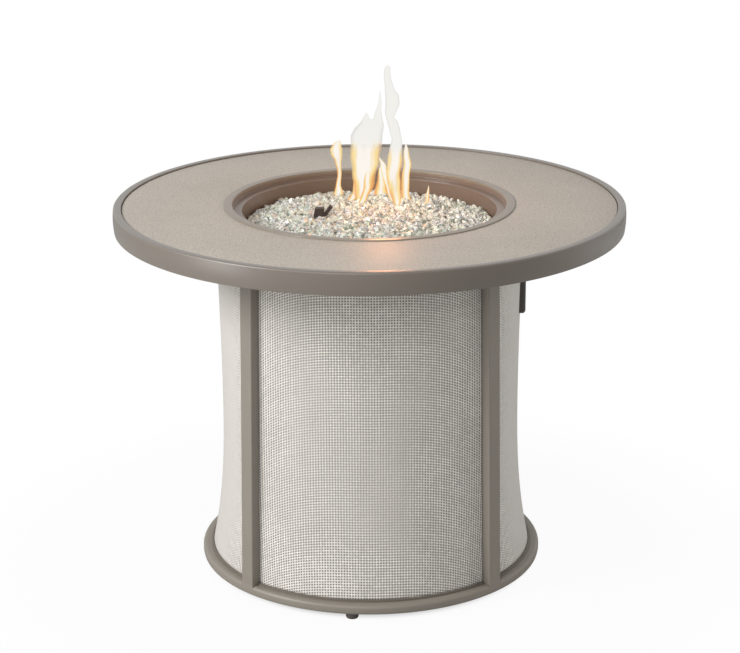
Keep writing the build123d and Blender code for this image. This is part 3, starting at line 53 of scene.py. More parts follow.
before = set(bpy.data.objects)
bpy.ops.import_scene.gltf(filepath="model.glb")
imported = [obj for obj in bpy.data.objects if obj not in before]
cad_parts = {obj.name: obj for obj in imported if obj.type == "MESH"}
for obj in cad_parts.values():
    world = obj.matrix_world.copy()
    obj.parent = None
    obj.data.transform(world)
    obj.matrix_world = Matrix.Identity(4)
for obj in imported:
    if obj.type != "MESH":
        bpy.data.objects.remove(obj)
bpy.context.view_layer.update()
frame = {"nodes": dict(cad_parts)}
NODES = frame["nodes"]
TABLE = "table"
DOOR = "door"
KNOB = "knob"
PLUG = "valve_plug"
MM = 0.001

# Edges that bend by more than this many degrees stay sharp
SHARP = 34.0

# Sizes of frame and pieces, in metres; the two angles are in degrees and LUMPS is a count
R_RIM = 0.400
R_STONE = 0.387
Z_TOP = 0.5905
Z_RIM = 0.5563
Z_SEAT = 0.575
Z_ARM = 0.571
Z_STONE = 0.588
Z_FLANGE = 0.5898
Z_RECESS = 0.5796
SHEET = 0.0018
R_BOWL = 0.199
R_RECESS = 0.2145
R_FLANGE = 0.228
BOWL_FLOOR = 0.5168
BOWL_CORNER = 0.018
BOWL_HOLE = 0.0095
GLASS_EDGE = 0.556
GLASS_TOP = 0.563
MOUND_R = 0.060
LUMPS = 70
LUMP_GAP = 0.043
LUMP_R = 0.017
LUMP_H = 0.006
GOLDEN_ANGLE = 137.508
BED_DROP = 0.0068
BED_UNDER = 0.5432
HOOD = (-0.088, 0.010)
HOOD_CLEAR = 0.032
RING_LOW = 0.010
RING_TOP = 0.0245
RING_OUT = 0.2745
RING_IN = 0.2495
RING_WALL = 0.0025
POST_TOP = 0.5483
POST_R_LOW = 0.2738
POST_R_HIGH = 0.2631
POST_HALF = 0.0125
GROOVE_DEPTH = 0.0155
WAIST_R = 0.2359
WAIST_Z = 0.280
FOOT_FLARE = 0.0269
HEAD_FLARE = 0.0061
CLOTH_GRIP = 0.0112
DOOR_GRIP = 0.0270
BOW = 0.047
CLOTH_THICK = 0.0009
PANEL_LOW = 0.0261
PANEL_HIGH = 0.5448
DOOR_LOW = 0.0422
DOOR_HIGH = 0.5298
WINDOW_LOW = 0.4325
WINDOW_HIGH = 0.521
WINDOW_HALF = 0.043
FOOT_R = 0.262
FOOT_TURN = 6.4
PULL_BAR = 0.0030
KNOB_CENTRE = (0.247, -0.022, 0.492)
PLUG_SPRING = (0.2041, -0.022, 0.492)
BUTTON_SPRING = (0.2216, 0.024, 0.492)


def srgb(red, green, blue):
    """Scene-linear colour from the 0 to 255 values that a colour picker shows."""
    c = np.array([red, green, blue]) / 255
    return tuple(np.where(c <= 0.04045, c / 12.92, ((c + 0.055) / 1.055) ** 2.4))


def tint(name, description, *picked):
    """Colour property with a default given in picker values."""
    return FloatVectorProperty(
        name=name, description=description, subtype="COLOR", size=3, min=0, max=1, default=srgb(*picked)
    )


class FirePitColours(PropertyGroup):
    rim: tint("Rim", "Coating of the rim", 110, 101, 91)
    frame: tint("Frame", "Coating of posts, rings and door frame", 134, 127, 117)
    inner: tint("Inner steel", "Coating of the parts under the top", 72, 66, 61)
    # The tracks take the frame's kind of coating, made darker to paint the shade in the recess where the
    # panels' edges meet the rings
    track: tint("Tracks", "Coating of the channels that hold the panels' edges", 112, 105, 95)
    bowl: tint("Bowl", "Heat-resistant coating of the burner bowl", 118, 101, 88)
    # The flange's paler colour is a painted highlight on the bowl's coating
    flange: tint("Flange", "The bowl's coating on its flange, which the heat leaves paler", 138, 127, 112)
    hood: tint("Sensor hood", "Heat-darkened coating of the flame sensor's hood", 66, 54, 48)
    plate: tint("Control plate", "Coating of the control plate", 70, 64, 59)
    stone: tint("Stone", "Ground colour of the cast stone", 190, 181, 169)
    thread: tint("Thread", "Yarn of the mesh panels", 219, 214, 207)
    # The openings' dark colour is painted shade: the panels are closed sheets, and it stands for the shade
    # inside the base seen through the holes
    gap: tint("Gap", "Dark openings between the yarns", 112, 106, 100)
    glass: tint("Glass", "Body tint of the crushed glass", 244, 246, 240)
    knob: tint("Knob", "Moulded plastic of knob and button", 42, 41, 40)


class FirePitSizes(PropertyGroup):
    weave: FloatProperty(
        name="Weave pitch", description="Distance between yarns", default=0.0043, min=0.001, max=0.01,
        unit="LENGTH",
    )
    gem: FloatProperty(
        name="Glass size", description="Mean radius of a piece of glass", default=0.006, min=0.002,
        max=0.012, unit="LENGTH",
    )
    segments: IntProperty(
        name="Turning segments", description="Facets round the turned pieces", default=288, min=48, max=512
    )
    seed: IntProperty(name="Seed", description="Start of the random lay of the glass", default=11, min=0)


# Geometry: outlines, grids, and pieces turned, piped, coiled or carried along


def round_angles(count):
    """Equal steps round a circle."""
    return np.linspace(0, 2 * pi, count, endpoint=False)


def unit(vectors):
    """Vectors brought to length one."""
    return vectors / np.maximum(np.linalg.norm(vectors, axis=-1, keepdims=True), 1e-9)


def eased(corners, radii, steps=5):
    """Closed outline in which each corner is an arc tangent to its two sides.

    The arc starts radius / tan(half the corner's angle) before the corner, and its centre lies on the
    corner's bisector at radius / sin(half the angle)."""
    corners = np.asarray(corners, float)
    radii = np.broadcast_to(np.asarray(radii, float), len(corners))[:, None]
    ways = [unit(np.roll(corners, shift, 0) - corners) for shift in (1, -1)]
    half = np.arccos(np.clip((ways[0] * ways[1]).sum(1, keepdims=True), -1, 1)) / 2
    centre = corners + unit(ways[0] + ways[1]) * radii / np.sin(half)
    ends = (corners + way * radii / np.tan(half) - centre for way in ways)
    first, last = (np.arctan2(end[:, 1:], end[:, :1]) for end in ends)
    angle = first + ((last - first + pi) % (2 * pi) - pi) * np.linspace(0, 1, steps + 1)
    points = centre[:, None] + radii[:, None] * np.stack([np.cos(angle), np.sin(angle)], -1)
    points = points.reshape(-1, 2)
    return points[np.linalg.norm(points - np.roll(points, 1, 0), axis=1) > 1e-7]


def linked(name, data):
    """New object in the scene."""
    obj = bpy.data.objects.new(name, data)
    bpy.context.scene.collection.objects.link(obj)
    return obj


def piece_from(name, points, faces, uv=None):
    """Smooth object from vertex and face arrays, with a map when there is one."""
    mesh = bpy.data.meshes.new(name)
    mesh.from_pydata(points.reshape(-1, 3).tolist(), [], faces.tolist())
    if uv is not None:
        at_corners = uv.reshape(-1, 2)[faces.ravel()].astype(np.float32)
        mesh.uv_layers.new(name="UVMap").data.foreach_set("uv", at_corners.ravel())
    mesh.shade_smooth()
    return linked(name, mesh)


def tidy(obj, sharp=SHARP):
    """Merges doubled points, turns faces outwards and marks edges sharper than an angle in degrees."""
    work = bmesh.new()
    work.from_mesh(obj.data)
    bmesh.ops.remove_doubles(work, verts=work.verts, dist=2e-6)
    bmesh.ops.dissolve_degenerate(work, edges=work.edges, dist=1e-7)
    bmesh.ops.recalc_face_normals(work, faces=work.faces)
    work.to_mesh(obj.data)
    work.free()
    obj.data.shade_smooth()
    obj.data.set_sharp_from_angle(angle=radians(sharp))
    return obj


def grid_faces(points, close_rows=False, close_columns=False):
    """Quads between neighbours in a grid of points, joined end to start where it closes."""
    rows, columns = points.shape[:2]
    i = np.arange(rows if close_rows else rows - 1)[:, None]
    j = np.arange(columns if close_columns else columns - 1)[None, :]
    down, right = (i + 1) % rows, (j + 1) % columns
    quads = [i * columns + j, down * columns + j, down * columns + right, i * columns + right]
    return np.stack(np.broadcast_arrays(*quads), -1).reshape(-1, 4)


def turned(name, outline, segments=None, place=None, closed=True):
    """Outline of (radius, height) points turned round the height axis; place moves the result."""
    radius, height = np.asarray(outline, float).T
    angle = round_angles(segments or bpy.context.scene.fire_pit_sizes.segments)[:, None]
    points = np.stack([radius * np.sin(angle), -radius * np.cos(angle), height + 0 * angle], -1)
    obj = piece_from(name, points, grid_faces(points, True, closed))
    if place is not None:
        obj.data.transform(place)
    return tidy(obj)


def joined(name, parts):
    """One object from several, in the order given."""
    with bpy.context.temp_override(active_object=parts[0], selected_editable_objects=parts):
        bpy.ops.object.join()
    parts[0].name = parts[0].data.name = name
    return parts[0]


def skinned(name, rings, sharp=SHARP):
    """Closed skin over a stack of rings, each end drawn together to its ring's middle."""
    ends = [rings[k : k + 1] * 0 + rings[k].mean(0) for k in (0, len(rings) - 1)]
    rings = np.concatenate([ends[0], rings, ends[1]])
    return tidy(piece_from(name, rings, grid_faces(rings, False, True)), sharp)


def piped(name, route, radius, sides=20, samples=12):
    """Round bar along a route of points: a Catmull-Rom curve through them carries a circle of the radius."""
    route = np.asarray(route, float)
    ends = np.vstack([2 * route[0] - route[1], route, 2 * route[-1] - route[-2]])
    t = np.linspace(0, 1, samples, endpoint=False)[:, None]
    p0, p1, p2, p3 = (ends[k : len(ends) - 3 + k, None] for k in range(4))
    bend = (p2 - p0) * t + (2 * p0 - 5 * p1 + 4 * p2 - p3) * t**2 + (3 * p1 - p0 - 3 * p2 + p3) * t**3
    path = np.vstack([(p1 + 0.5 * bend).reshape(-1, 3), route[-1:]])
    run = unit(np.gradient(path, axis=0))
    side = unit(np.cross(run, np.cross(route[-1] - route[0], route[len(route) // 2] - route[0])))
    up = np.cross(run, side)
    angle = round_angles(sides)[None, :, None]
    circle = np.cos(angle) * side[:, None] + np.sin(angle) * up[:, None]
    return skinned(name, path[:, None] + radius * circle)


def spring(name, start, length, radius, wire, turns, steps=24, sides=10):
    """Coil along +X from a point: the wire's circle goes round the axis and moves on evenly with the turn."""
    turn = np.linspace(0, 2 * pi * turns, int(turns * steps) + 1)[:, None]
    angle = round_angles(sides)
    along = start[0] + wire + (length - 2 * wire) * turn / turn[-1] + wire * np.sin(angle)
    reach = radius + wire * np.cos(angle)
    points = np.stack([along, start[1] + reach * np.cos(turn), start[2] + reach * np.sin(turn)], -1)
    return skinned(name, points, 60)


def prism(name, outline, low, high, ease=0.0005):
    """Convex (x, z) outline carried along y between two depths, drawn in a little at both ends."""
    middle = outline.mean(0)
    inset = middle + (outline - middle) * (1 - ease / np.linalg.norm(outline - middle, axis=1, keepdims=True))
    rings = zip((inset, outline, outline, inset), (low, low + ease, high - ease, high))
    return skinned(name, np.stack([np.insert(ring, 1, depth, axis=1) for ring, depth in rings]))


def wear(piece, body, name, slot, *nodes):
    """Gives a piece its finish and the body that it rides on, and hides the nodes that it stands for; the
    slot is not used.
    """
    piece.data.materials.append(finish(name))
    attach(piece, body)
    if nodes:
        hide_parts(*nodes)


def coat(name, *nodes):
    """Gives CAD nodes that stay visible a finish."""
    for node in nodes:
        NODES[node].data.materials.clear()
        NODES[node].data.materials.append(finish(name))


# Finishes: shared effects as node groups, one material for each finish


class Wire:
    """Shader value that goes into formulas like a number: each step adds a Math node to its tree."""

    def __init__(self, socket):
        self.socket = socket
        self.tree = socket.id_data

    def math(self, operation, *others, clamp=False):
        """One arithmetic step on this value and the others."""
        inputs = dict(enumerate((self, *others)))
        return put(self.tree, "ShaderNodeMath", inputs, operation=operation, use_clamp=clamp)[0]

    __add__ = partialmethod(math, "ADD")
    __sub__ = partialmethod(math, "SUBTRACT")
    __mul__ = partialmethod(math, "MULTIPLY")
    __truediv__ = partialmethod(math, "DIVIDE")

    def ramp(self, low, high, to_low=0.0, to_high=1.0):
        """The value carried smoothly from one range to another."""
        inputs = {"Value": self, "From Min": low, "From Max": high, "To Min": to_low, "To Max": to_high}
        return put(self.tree, "ShaderNodeMapRange", inputs, interpolation_type="SMOOTHSTEP")["Result"]


class Outputs:
    """A node's outputs as wires, by name or number."""

    def __init__(self, node):
        self.node = node

    def __getitem__(self, key):
        return Wire(self.node.outputs[key])


def feed(node, inputs):
    """Sets a node's inputs, or links them to wires, by name or number; plain colours get full opacity."""
    for key, value in inputs.items():
        socket = node.inputs[key]
        if isinstance(value, Wire):
            node.id_data.links.new(value.socket, socket)
        else:
            socket.default_value = (*value, 1.0) if socket.type == "RGBA" else value


def put(tree, kind, inputs=None, **settings):
    """Adds a node with its settings and inputs, and gives its outputs."""
    node = tree.nodes.new(kind)
    for key, value in settings.items():
        setattr(node, key, value)
    feed(node, inputs or {})
    return Outputs(node)


def noise(at, scale, detail, **more):
    """Fractal noise about a middle of 0.5."""
    return put(at.tree, "ShaderNodeTexNoise", {"Vector": at, "Scale": scale, "Detail": detail, **more})["Fac"]


def cells(at, scale):
    """Voronoi cells: the cell's outputs, and three random values of its own."""
    cell = put(at.tree, "ShaderNodeTexVoronoi", {"Vector": at, "Scale": scale})
    return cell, put(at.tree, "ShaderNodeSeparateColor", {"Color": cell["Color"]})


def axes(vector):
    """The three parts of a vector."""
    return put(vector.tree, "ShaderNodeSeparateXYZ", {"Vector": vector})


def shade(colour, value, saturation=1.0):
    """Colour with its value and saturation multiplied."""
    tree = value.tree if isinstance(value, Wire) else colour.tree
    inputs = {"Color": colour, "Value": value, "Saturation": saturation}
    return put(tree, "ShaderNodeHueSaturation", inputs)[0]


def blend(factor, first, second):
    """Mix of two colours by a factor."""
    inputs = {0: factor, 6: first, 7: second}
    return put(factor.tree, "ShaderNodeMix", inputs, data_type="RGBA", clamp_result=True)[2]


def coating_look(given):
    """Powder coating: fine orange peel in the height, soft mottling in colour and gloss."""
    at = given["Vector"]
    peel, cloud, fleck = noise(at, given["Grain"], 3.0), noise(at, 11.0, 5.0), noise(at, 2300.0, 1.0)
    level = (cloud - 0.5) * given["Mottle"] + (fleck - 0.5) * 0.16 + 1.0
    return shade(given["Colour"], level), (peel - 0.5) * 0.16 + given["Roughness"], peel


def weave_look(given):
    """Open plain weave: yarns run along whole numbers of pitches and cross over and under in turn; the yarns
    carry a painted highlight on their crowns and painted shade where they dip, and the openings carry painted
    shade.
    """
    at = given["Vector"]
    along = axes(at)
    wander = (noise(at, 45.0, 2.0) - 0.5) * 0.00055
    steps = [(along[k] + wander) / given["Pitch"] for k in (0, 1)]
    waves = [(step * (2 * pi)).math("COSINE") for step in steps]
    hole = (waves[0] + waves[1]).ramp(-0.18, -0.95)
    warp, weft = (wave.ramp(-0.75, 0.95) for wave in waves)
    turns = [(step * pi).math("COSINE") for step in steps]
    over = turns[0] * turns[1] * 0.22
    height = (warp * (over + 0.78)).math("MAXIMUM", weft * (over * -1.0 + 0.78))
    level = noise(at, 14.0, 4.0).ramp(0.3, 0.7, 0.965, 1.025) + (noise(at, 700.0, 1.0) - 0.5) * 0.10
    yarns = [step.math("ROUND") for step in steps]
    for yarn in yarns:
        own = put(at.tree, "ShaderNodeTexWhiteNoise", {"W": yarn}, noise_dimensions="1D")["Value"]
        level = level * own.ramp(0, 1, 0.975, 1.025)
    knot = put(at.tree, "ShaderNodeCombineXYZ", dict(enumerate(yarns)))[0]
    own = put(at.tree, "ShaderNodeTexWhiteNoise", {"Vector": knot}, noise_dimensions="2D")["Value"]
    level = level * own.ramp(0, 1, 0.92, 1.08)
    # Painted light on the yarns: brighter on their crowns as a painted highlight, darker where they dip under
    # as painted shade
    thread = shade(given["Thread"], level * height.ramp(0.1, 0.9, 0.84, 1.06))
    # The openings take the gap colour, which is painted shade
    return blend(hole, thread, given["Gap"]), hole.ramp(0, 1, 0.62, 0.9), height


# Specks in the stone: cells per metre, size in its cell, share of cells, strength, value of the colour
SPECKS = (
    (210.0, 0.20, 0.30, 0.75, 0.58),
    (120.0, 0.13, 0.22, 0.95, 0.58),
    (300.0, 0.26, 0.35, 0.80, 1.28),
)
PITTED = 1


def stone_look(given):
    """Cast stone: soft clouds, fine sand, and scattered dark and pale specks, one kind of them pits."""
    at, colour = given["Vector"], given["Colour"]
    sand = noise(at, 400.0, 3.0)
    cloud = noise(at, 7.0, 6.0, Roughness=0.6)
    tone = shade(colour, cloud.ramp(0.3, 0.7, 0.955, 1.035) + (sand - 0.5) * 1.40)
    masks = []
    for scale, size, share, strength, value in SPECKS:
        cell, pick = cells(at, scale)
        masks.append(cell["Distance"].ramp(size, size * 0.5) * pick[0].math("LESS_THAN", share))
        tone = blend(masks[-1] * strength, tone, shade(colour, value))
    return tone, sand.ramp(0.3, 0.7, 0.42, 0.58), sand * 0.5 + masks[PITTED] * -1.0


def drawn_look(given):
    """Drawn or machined metal: fine lines along one direction vary gloss, colour and height."""
    at = given["Vector"]
    stretched = put(at.tree, "ShaderNodeMapping", {"Vector": at, "Scale": (40.0, 900.0, 900.0)})[0]
    lines, stain = noise(stretched, 1.0, 4.0), noise(at, 60.0, 4.0)
    level = lines.ramp(0.3, 0.7, 0.88, 1.1) * stain.ramp(0.3, 0.7, 0.9, 1.05)
    return shade(given["Colour"], level), (stain - 0.5) * 0.3 + given["Roughness"], lines


# Shared effects: what makes each, and its inputs besides the place
GREY = (0.5, 0.5, 0.5, 1.0)
EFFECTS = {
    "powder_coating": (coating_look, {"Colour": GREY, "Grain": 900.0, "Mottle": 0.10, "Roughness": 0.45}),
    "mesh_weave": (weave_look, {"Pitch": 0.004, "Thread": GREY, "Gap": GREY}),
    "cast_stone": (stone_look, {"Colour": GREY}),
    "drawn_metal": (drawn_look, {"Colour": GREY, "Roughness": 0.3}),
}
LOOKS = {"Colour": "NodeSocketColor", "Roughness": "NodeSocketFloat", "Height": "NodeSocketFloat"}


def shared(name):
    """The node group of a shared effect, made the first time that it is asked for."""
    if name in bpy.data.node_groups:
        return bpy.data.node_groups[name]
    look, inputs = EFFECTS[name]
    tree = bpy.data.node_groups.new(name, "ShaderNodeTree")
    new_socket = tree.interface.new_socket
    new_socket("Vector", in_out="INPUT", socket_type="NodeSocketVector")
    for label, default in inputs.items():
        kind = "NodeSocketColor" if default is GREY else "NodeSocketFloat"
        new_socket(label, in_out="INPUT", socket_type=kind).default_value = default
    for label, kind in LOOKS.items():
        new_socket(label, in_out="OUTPUT", socket_type=kind)
    given = put(tree, "NodeGroupInput")
    put(tree, "NodeGroupOutput", dict(zip(LOOKS, look(given))))
    return tree


def blank(name):
    """New material with an empty node tree."""
    material = bpy.data.materials.new(name)
    material.use_nodes = True
    material.node_tree.nodes.clear()
    return material, material.node_tree


class Finish:
    """New material with a Principled shader, its texture coordinates, and the ways to join looks to it."""

    def __init__(self, name, inputs=None):
        self.material, self.tree = blank(name)
        shader = put(self.tree, "ShaderNodeBsdfPrincipled", inputs)
        put(self.tree, "ShaderNodeOutputMaterial", {"Surface": shader[0]})
        self.shader = shader.node
        self.at = put(self.tree, "ShaderNodeTexCoord")

    def relief(self, height, strength, distance):
        """Bump from a height."""
        inputs = {"Height": height, "Strength": strength, "Distance": distance}
        feed(self.shader, {"Normal": put(self.tree, "ShaderNodeBump", inputs)[0]})
        return self

    def effect(self, name, strength, distance, **given):
        """Shared effect, whose colour, roughness and height go to the shader."""
        given.setdefault("Vector", self.at["Object"])
        self.looks = put(self.tree, "ShaderNodeGroup", given, node_tree=shared(name))
        feed(self.shader, {"Base Color": self.looks["Colour"], "Roughness": self.looks["Roughness"]})
        return self.relief(self.looks["Height"], strength, distance)


def coated(name, colour, roughness, mottle=0.10, grain=900.0, inputs=None):
    """Powder-coated or moulded surface."""
    given = {"Colour": colour, "Roughness": roughness, "Mottle": mottle, "Grain": grain}
    return Finish(name, inputs).effect("powder_coating", 0.10, 0.0004, **given)


def bowl_with_painted_highlight(name, colour):
    """The bowl's coating, turning paler towards the flange: the paler flange is a painted highlight."""
    made = Finish(name, {"Coat Weight": 0.25})
    # Painted highlight: from the recess up to the flange the colour turns to the paler flange colour
    rise = axes(made.at["Object"])[2].ramp(Z_RECESS + 0.002, Z_FLANGE - 0.001)
    tone = blend(rise, colour, bpy.context.scene.fire_pit_colours.flange)
    return made.effect("powder_coating", 0.10, 0.0004, Colour=tone, Roughness=0.34)


def bare_metal(name, colour, roughness):
    """Uncoated drawn, cast or machined metal."""
    made = Finish(name, {"Metallic": 1.0})
    return made.effect("drawn_metal", 0.12, 0.0002, Colour=colour, Roughness=roughness)


def mesh_cloth(name, colour):
    """Coated mesh, woven along the panel's map in metres; seen aslant, its holes close."""
    made = Finish(name, {"Sheen Weight": 0.15, "Sheen Roughness": 0.5})
    gap, pitch = bpy.context.scene.fire_pit_colours.gap, bpy.context.scene.fire_pit_sizes.weave
    given = {"Vector": made.at["UV"], "Pitch": pitch, "Thread": colour, "Gap": gap}
    made.effect("mesh_weave", 0.40, 0.0008, **given)
    aslant = put(made.tree, "ShaderNodeLayerWeight", {"Blend": 0.5})["Facing"].ramp(0.50, 0.80, 0.0, 0.85)
    feed(made.shader, {"Base Color": blend(aslant, made.looks["Colour"], np.array(colour) * 0.83)})
    return made


def stone_slab(name, colour):
    """Honed cast stone."""
    return Finish(name).effect("cast_stone", 0.25, 0.0004, Colour=colour)


def crushed_glass(name, colour):
    """Tumbled clear glass: each piece has its own tint, and each facet a painted share of light that stands
    for its inner reflections.
    """
    inputs = {"Transmission Weight": 0.38, "IOR": 1.5, "Coat Weight": 0.5, "Coat Roughness": 0.03}
    made = Finish(name, inputs)
    _, pick = cells(made.at["Object"], 95.0)
    # Painted reflections: each facet's random value brightens or darkens it
    facet = put(made.tree, "ShaderNodeAttribute", attribute_name="facet")["Fac"]
    light = pick[0].ramp(0, 1, 0.88, 1.08) * facet.ramp(0.05, 0.6, 0.56, 1.18)
    frost = noise(made.at["Object"], 380.0, 3.0)
    tone = shade(colour, light, pick[1].ramp(0, 1, 0.5, 3.0))
    feed(made.shader, {"Base Color": tone, "Roughness": frost.ramp(0.35, 0.75, 0.01, 0.14)})
    return made.relief(frost, 0.35, 0.001)


def glass_bed(name, colour):
    """Glass seen between the upper pieces: cells of random brightness, each darker towards its edge as
    painted shade where the pieces meet.
    """
    made = Finish(name, {"Roughness": 0.25, "Coat Weight": 0.6})
    cell, pick = cells(made.at["Object"], 150.0)
    # Painted shade: each cell darkens towards its edge, between the pieces
    light = pick[0].ramp(0.1, 0.9, 0.30, 1.0) * cell["Distance"].ramp(0.7, 0.2, 0.35, 1.0)
    feed(made.shader, {"Base Color": shade(colour, light, 2.0)})
    return made.relief(cell["Distance"], 0.8, 0.003)


# Finishes: what makes each, its colour as a property's name or picker values, then its roughness, mottling,
# grain and other values of the shader, as far as its maker takes them
FINISHES = {
    "rim_coating": (coated, "rim", 0.42, 0.10, 900.0, {"Coat Weight": 0.9, "Coat Roughness": 0.36}),
    "frame_coating": (coated, "frame", 0.44),
    # Track colour: the coating with painted shade of its recess
    "track_coating_and_shade": (coated, "track", 0.5),
    "inner_coating": (coated, "inner", 0.55),
    "bowl_coating": (bowl_with_painted_highlight, "bowl"),
    "hood_coating": (coated, "hood", 0.5, 0.3),
    "plate_coating": (coated, "plate", 0.42),
    "cast_slab": (stone_slab, "stone"),
    "panel_mesh": (mesh_cloth, "thread"),
    "crushed_glass": (crushed_glass, "glass"),
    "glass_bed": (glass_bed, "glass"),
    "satin_steel": (bare_metal, (196, 195, 192), 0.28),
    "zinc_plate": (bare_metal, (178, 178, 174), 0.36),
    "turned_brass": (bare_metal, (206, 170, 104), 0.27),
    "drawn_tube": (bare_metal, (204, 205, 206), 0.30),
    "die_casting": (bare_metal, (165, 166, 166), 0.5),
    "black_moulding": (coated, "knob", 0.5, 0.05, 1500.0),
    "foot_moulding": (coated, (78, 73, 68), 0.6, 0.05, 1200.0),
    "silicone": (coated, (38, 38, 38), 0.7, 0.15, 700.0),
    "fired_ceramic": (coated, (232, 228, 216), 0.25, 0.05, 600.0),
    "index_mark": (coated, (214, 212, 206), 0.45, 0.03, 1500.0),
}


def finish(name):
    """The material of one finish, made the first time that it is asked for."""
    if name in bpy.data.materials:
        return bpy.data.materials[name]
    maker, colour, *settings = FINISHES[name]
    known = isinstance(colour, str)
    colour = getattr(bpy.context.scene.fire_pit_colours, colour) if known else srgb(*colour)
    return maker(name, colour, *settings).material


# Pieces


class FIREPIT_OT_rim(Operator):
    """Rolled rim: a channel open underneath, bowed outside, with the ledge for the stone"""

    bl_idname = "firepit.rim"
    bl_label = "Rim"

    def execute(self, context):
        share = np.linspace(0.08, 0.92, 7)
        bowed = np.column_stack([R_RIM - 0.00125 * (2 * share - 1.11) ** 2, Z_RIM + share * (Z_TOP - Z_RIM)])
        ledge, inside, wall, under = R_STONE - 0.025, R_STONE + 0.003, R_RIM - 0.0042, Z_TOP - 0.003
        corners = [
            (R_RIM - 0.0014, Z_RIM), *bowed, (R_RIM - 0.0009, Z_TOP), (R_STONE, Z_TOP), (R_STONE, Z_SEAT),
            (ledge, Z_SEAT), (ledge, Z_ARM), (inside, Z_ARM), (inside, under), (wall, under), (wall, Z_RIM),
        ]
        radii = [0.0006, *[0] * 7, 0.0028, 0.0010, 0.0003, 0.0005, 0.0005, *[0.0003] * 4]
        wear(turned("rim", eased(corners, radii)), TABLE, "rim_coating", "rim_paint", "rim_ring")
        return {"FINISHED"}


class FIREPIT_OT_stone(Operator):
    """Cast stone slab with eased edges, and the silicone pads that it lies on"""

    bl_idname = "firepit.stone"
    bl_label = "Stone top"

    def execute(self, context):
        low, inner, outer = Z_STONE - 0.012, 0.218, R_STONE - 0.0008
        corners = [(inner, low), (outer, low), (outer, Z_STONE), (inner, Z_STONE)]
        slab = turned("stone_slab", eased(corners, [0.0005, 0.0005, 0.0012, 0.0010]))
        wear(slab, TABLE, "cast_slab", "stone", "stone_top")
        coat("silicone", "stone_pads")
        return {"FINISHED"}


class FIREPIT_OT_bowl(Operator):
    """Pressed burner bowl: flange on the stone, lid recess, inner ledge, wall and floor"""

    bl_idname = "firepit.bowl"
    bl_label = "Burner bowl"

    def execute(self, context):
        wall, step = R_BOWL + SHEET, R_RECESS + SHEET
        corners = [
            (BOWL_HOLE, BOWL_FLOOR - SHEET), (wall, BOWL_FLOOR - SHEET), (wall, Z_RECESS - SHEET),
            (step, Z_RECESS - SHEET), (step, Z_STONE), (R_FLANGE, Z_STONE), (R_FLANGE, Z_FLANGE),
            (R_RECESS, Z_FLANGE), (R_RECESS, Z_RECESS), (R_BOWL, Z_RECESS), (R_BOWL, BOWL_FLOOR),
            (BOWL_HOLE, BOWL_FLOOR),
        ]
        radii = [0.0002, BOWL_CORNER + SHEET, 0.0004, 0.0020, 0.0004, 0.0004, 0.0012, 0.0014, 0.0012, 0.0016,
                 BOWL_CORNER, 0.0002]
        bowl = turned("bowl", eased(corners, radii, 7))
        wear(bowl, TABLE, "bowl_coating", "bowl_paint", "burner_pan", "pan_rim")
        self.hood()
        coat("satin_steel", "burner_ring", "thermocouple")
        coat("fired_ceramic", "spark_electrode")
        return {"FINISHED"}

    def hood(self):
        """Folded hood over the sensor's tip, its slanted lip and its foot down to the bowl."""
        x, y = HOOD
        shell = [(x, 0.5635), (x + 0.0025, 0.5772), (x + 0.0165, 0.5780), (x + 0.0172, 0.5640)]
        lip = [(x + 0.0135, 0.5640), (x + 0.0205, 0.5650), (x + 0.0305, 0.5785), (x + 0.0262, 0.5822)]
        foot = [(x, BOWL_FLOOR), (x, 0.5660), (x + 0.0015, 0.5660), (x + 0.0015, BOWL_FLOOR)]
        parts = [
            prism("shell", eased(shell, 0.0009, 3), y - 0.0062, y + 0.0060),
            prism("lip", eased(lip, 0.0008, 3), y - 0.0055, y + 0.0050),
            prism("foot", eased(foot, 0.0003, 2), y - 0.0060, y + 0.0060),
        ]
        wear(joined("hood", parts), TABLE, "hood_coating", "bowl_paint", "sensor_hood")


def glass_height(x, y):
    """Height of the glass: a level middle, a cone down to the wall, and low lumps on it.

    Lump n lies at n times the golden angle, at a radius that grows as the square root of n + 0.5, and is
    left out beside the sensor hood. Its height falls smoothly towards its rim, and lumps near the bowl's
    wall are lower."""
    number = np.arange(LUMPS)
    reach = 0.525 * LUMP_GAP * np.sqrt(number + 0.5)
    turn = np.radians(GOLDEN_ANGLE * number)
    across, back = reach * np.cos(turn), reach * np.sin(turn)
    clear = np.hypot(across - HOOD[0] - 0.010, back - HOOD[1]) > HOOD_CLEAR
    kept = (reach < R_BOWL - LUMP_R - 0.001) & clear
    away = np.hypot(x[..., None] - across[kept], y[..., None] - back[kept]).min(-1)
    share = np.clip((LUMP_R - 0.001 - away) / 0.0105, 0, 1)
    radius = np.hypot(x, y)
    level = GLASS_TOP - (GLASS_TOP - GLASS_EDGE) * np.clip(radius - MOUND_R, 0, None) / (R_BOWL - MOUND_R)
    fade = np.interp(radius, (0.12, 0.19), (1.0, 0.45))
    return level + LUMP_H * fade * share**2 * (3 - 2 * share)


# Layers of glass pieces: lift over the glass's height, and pitch
GLASS_LAYERS = ((-0.0056, 0.0086), (-0.0028, 0.0091), (-0.0002, 0.0124))


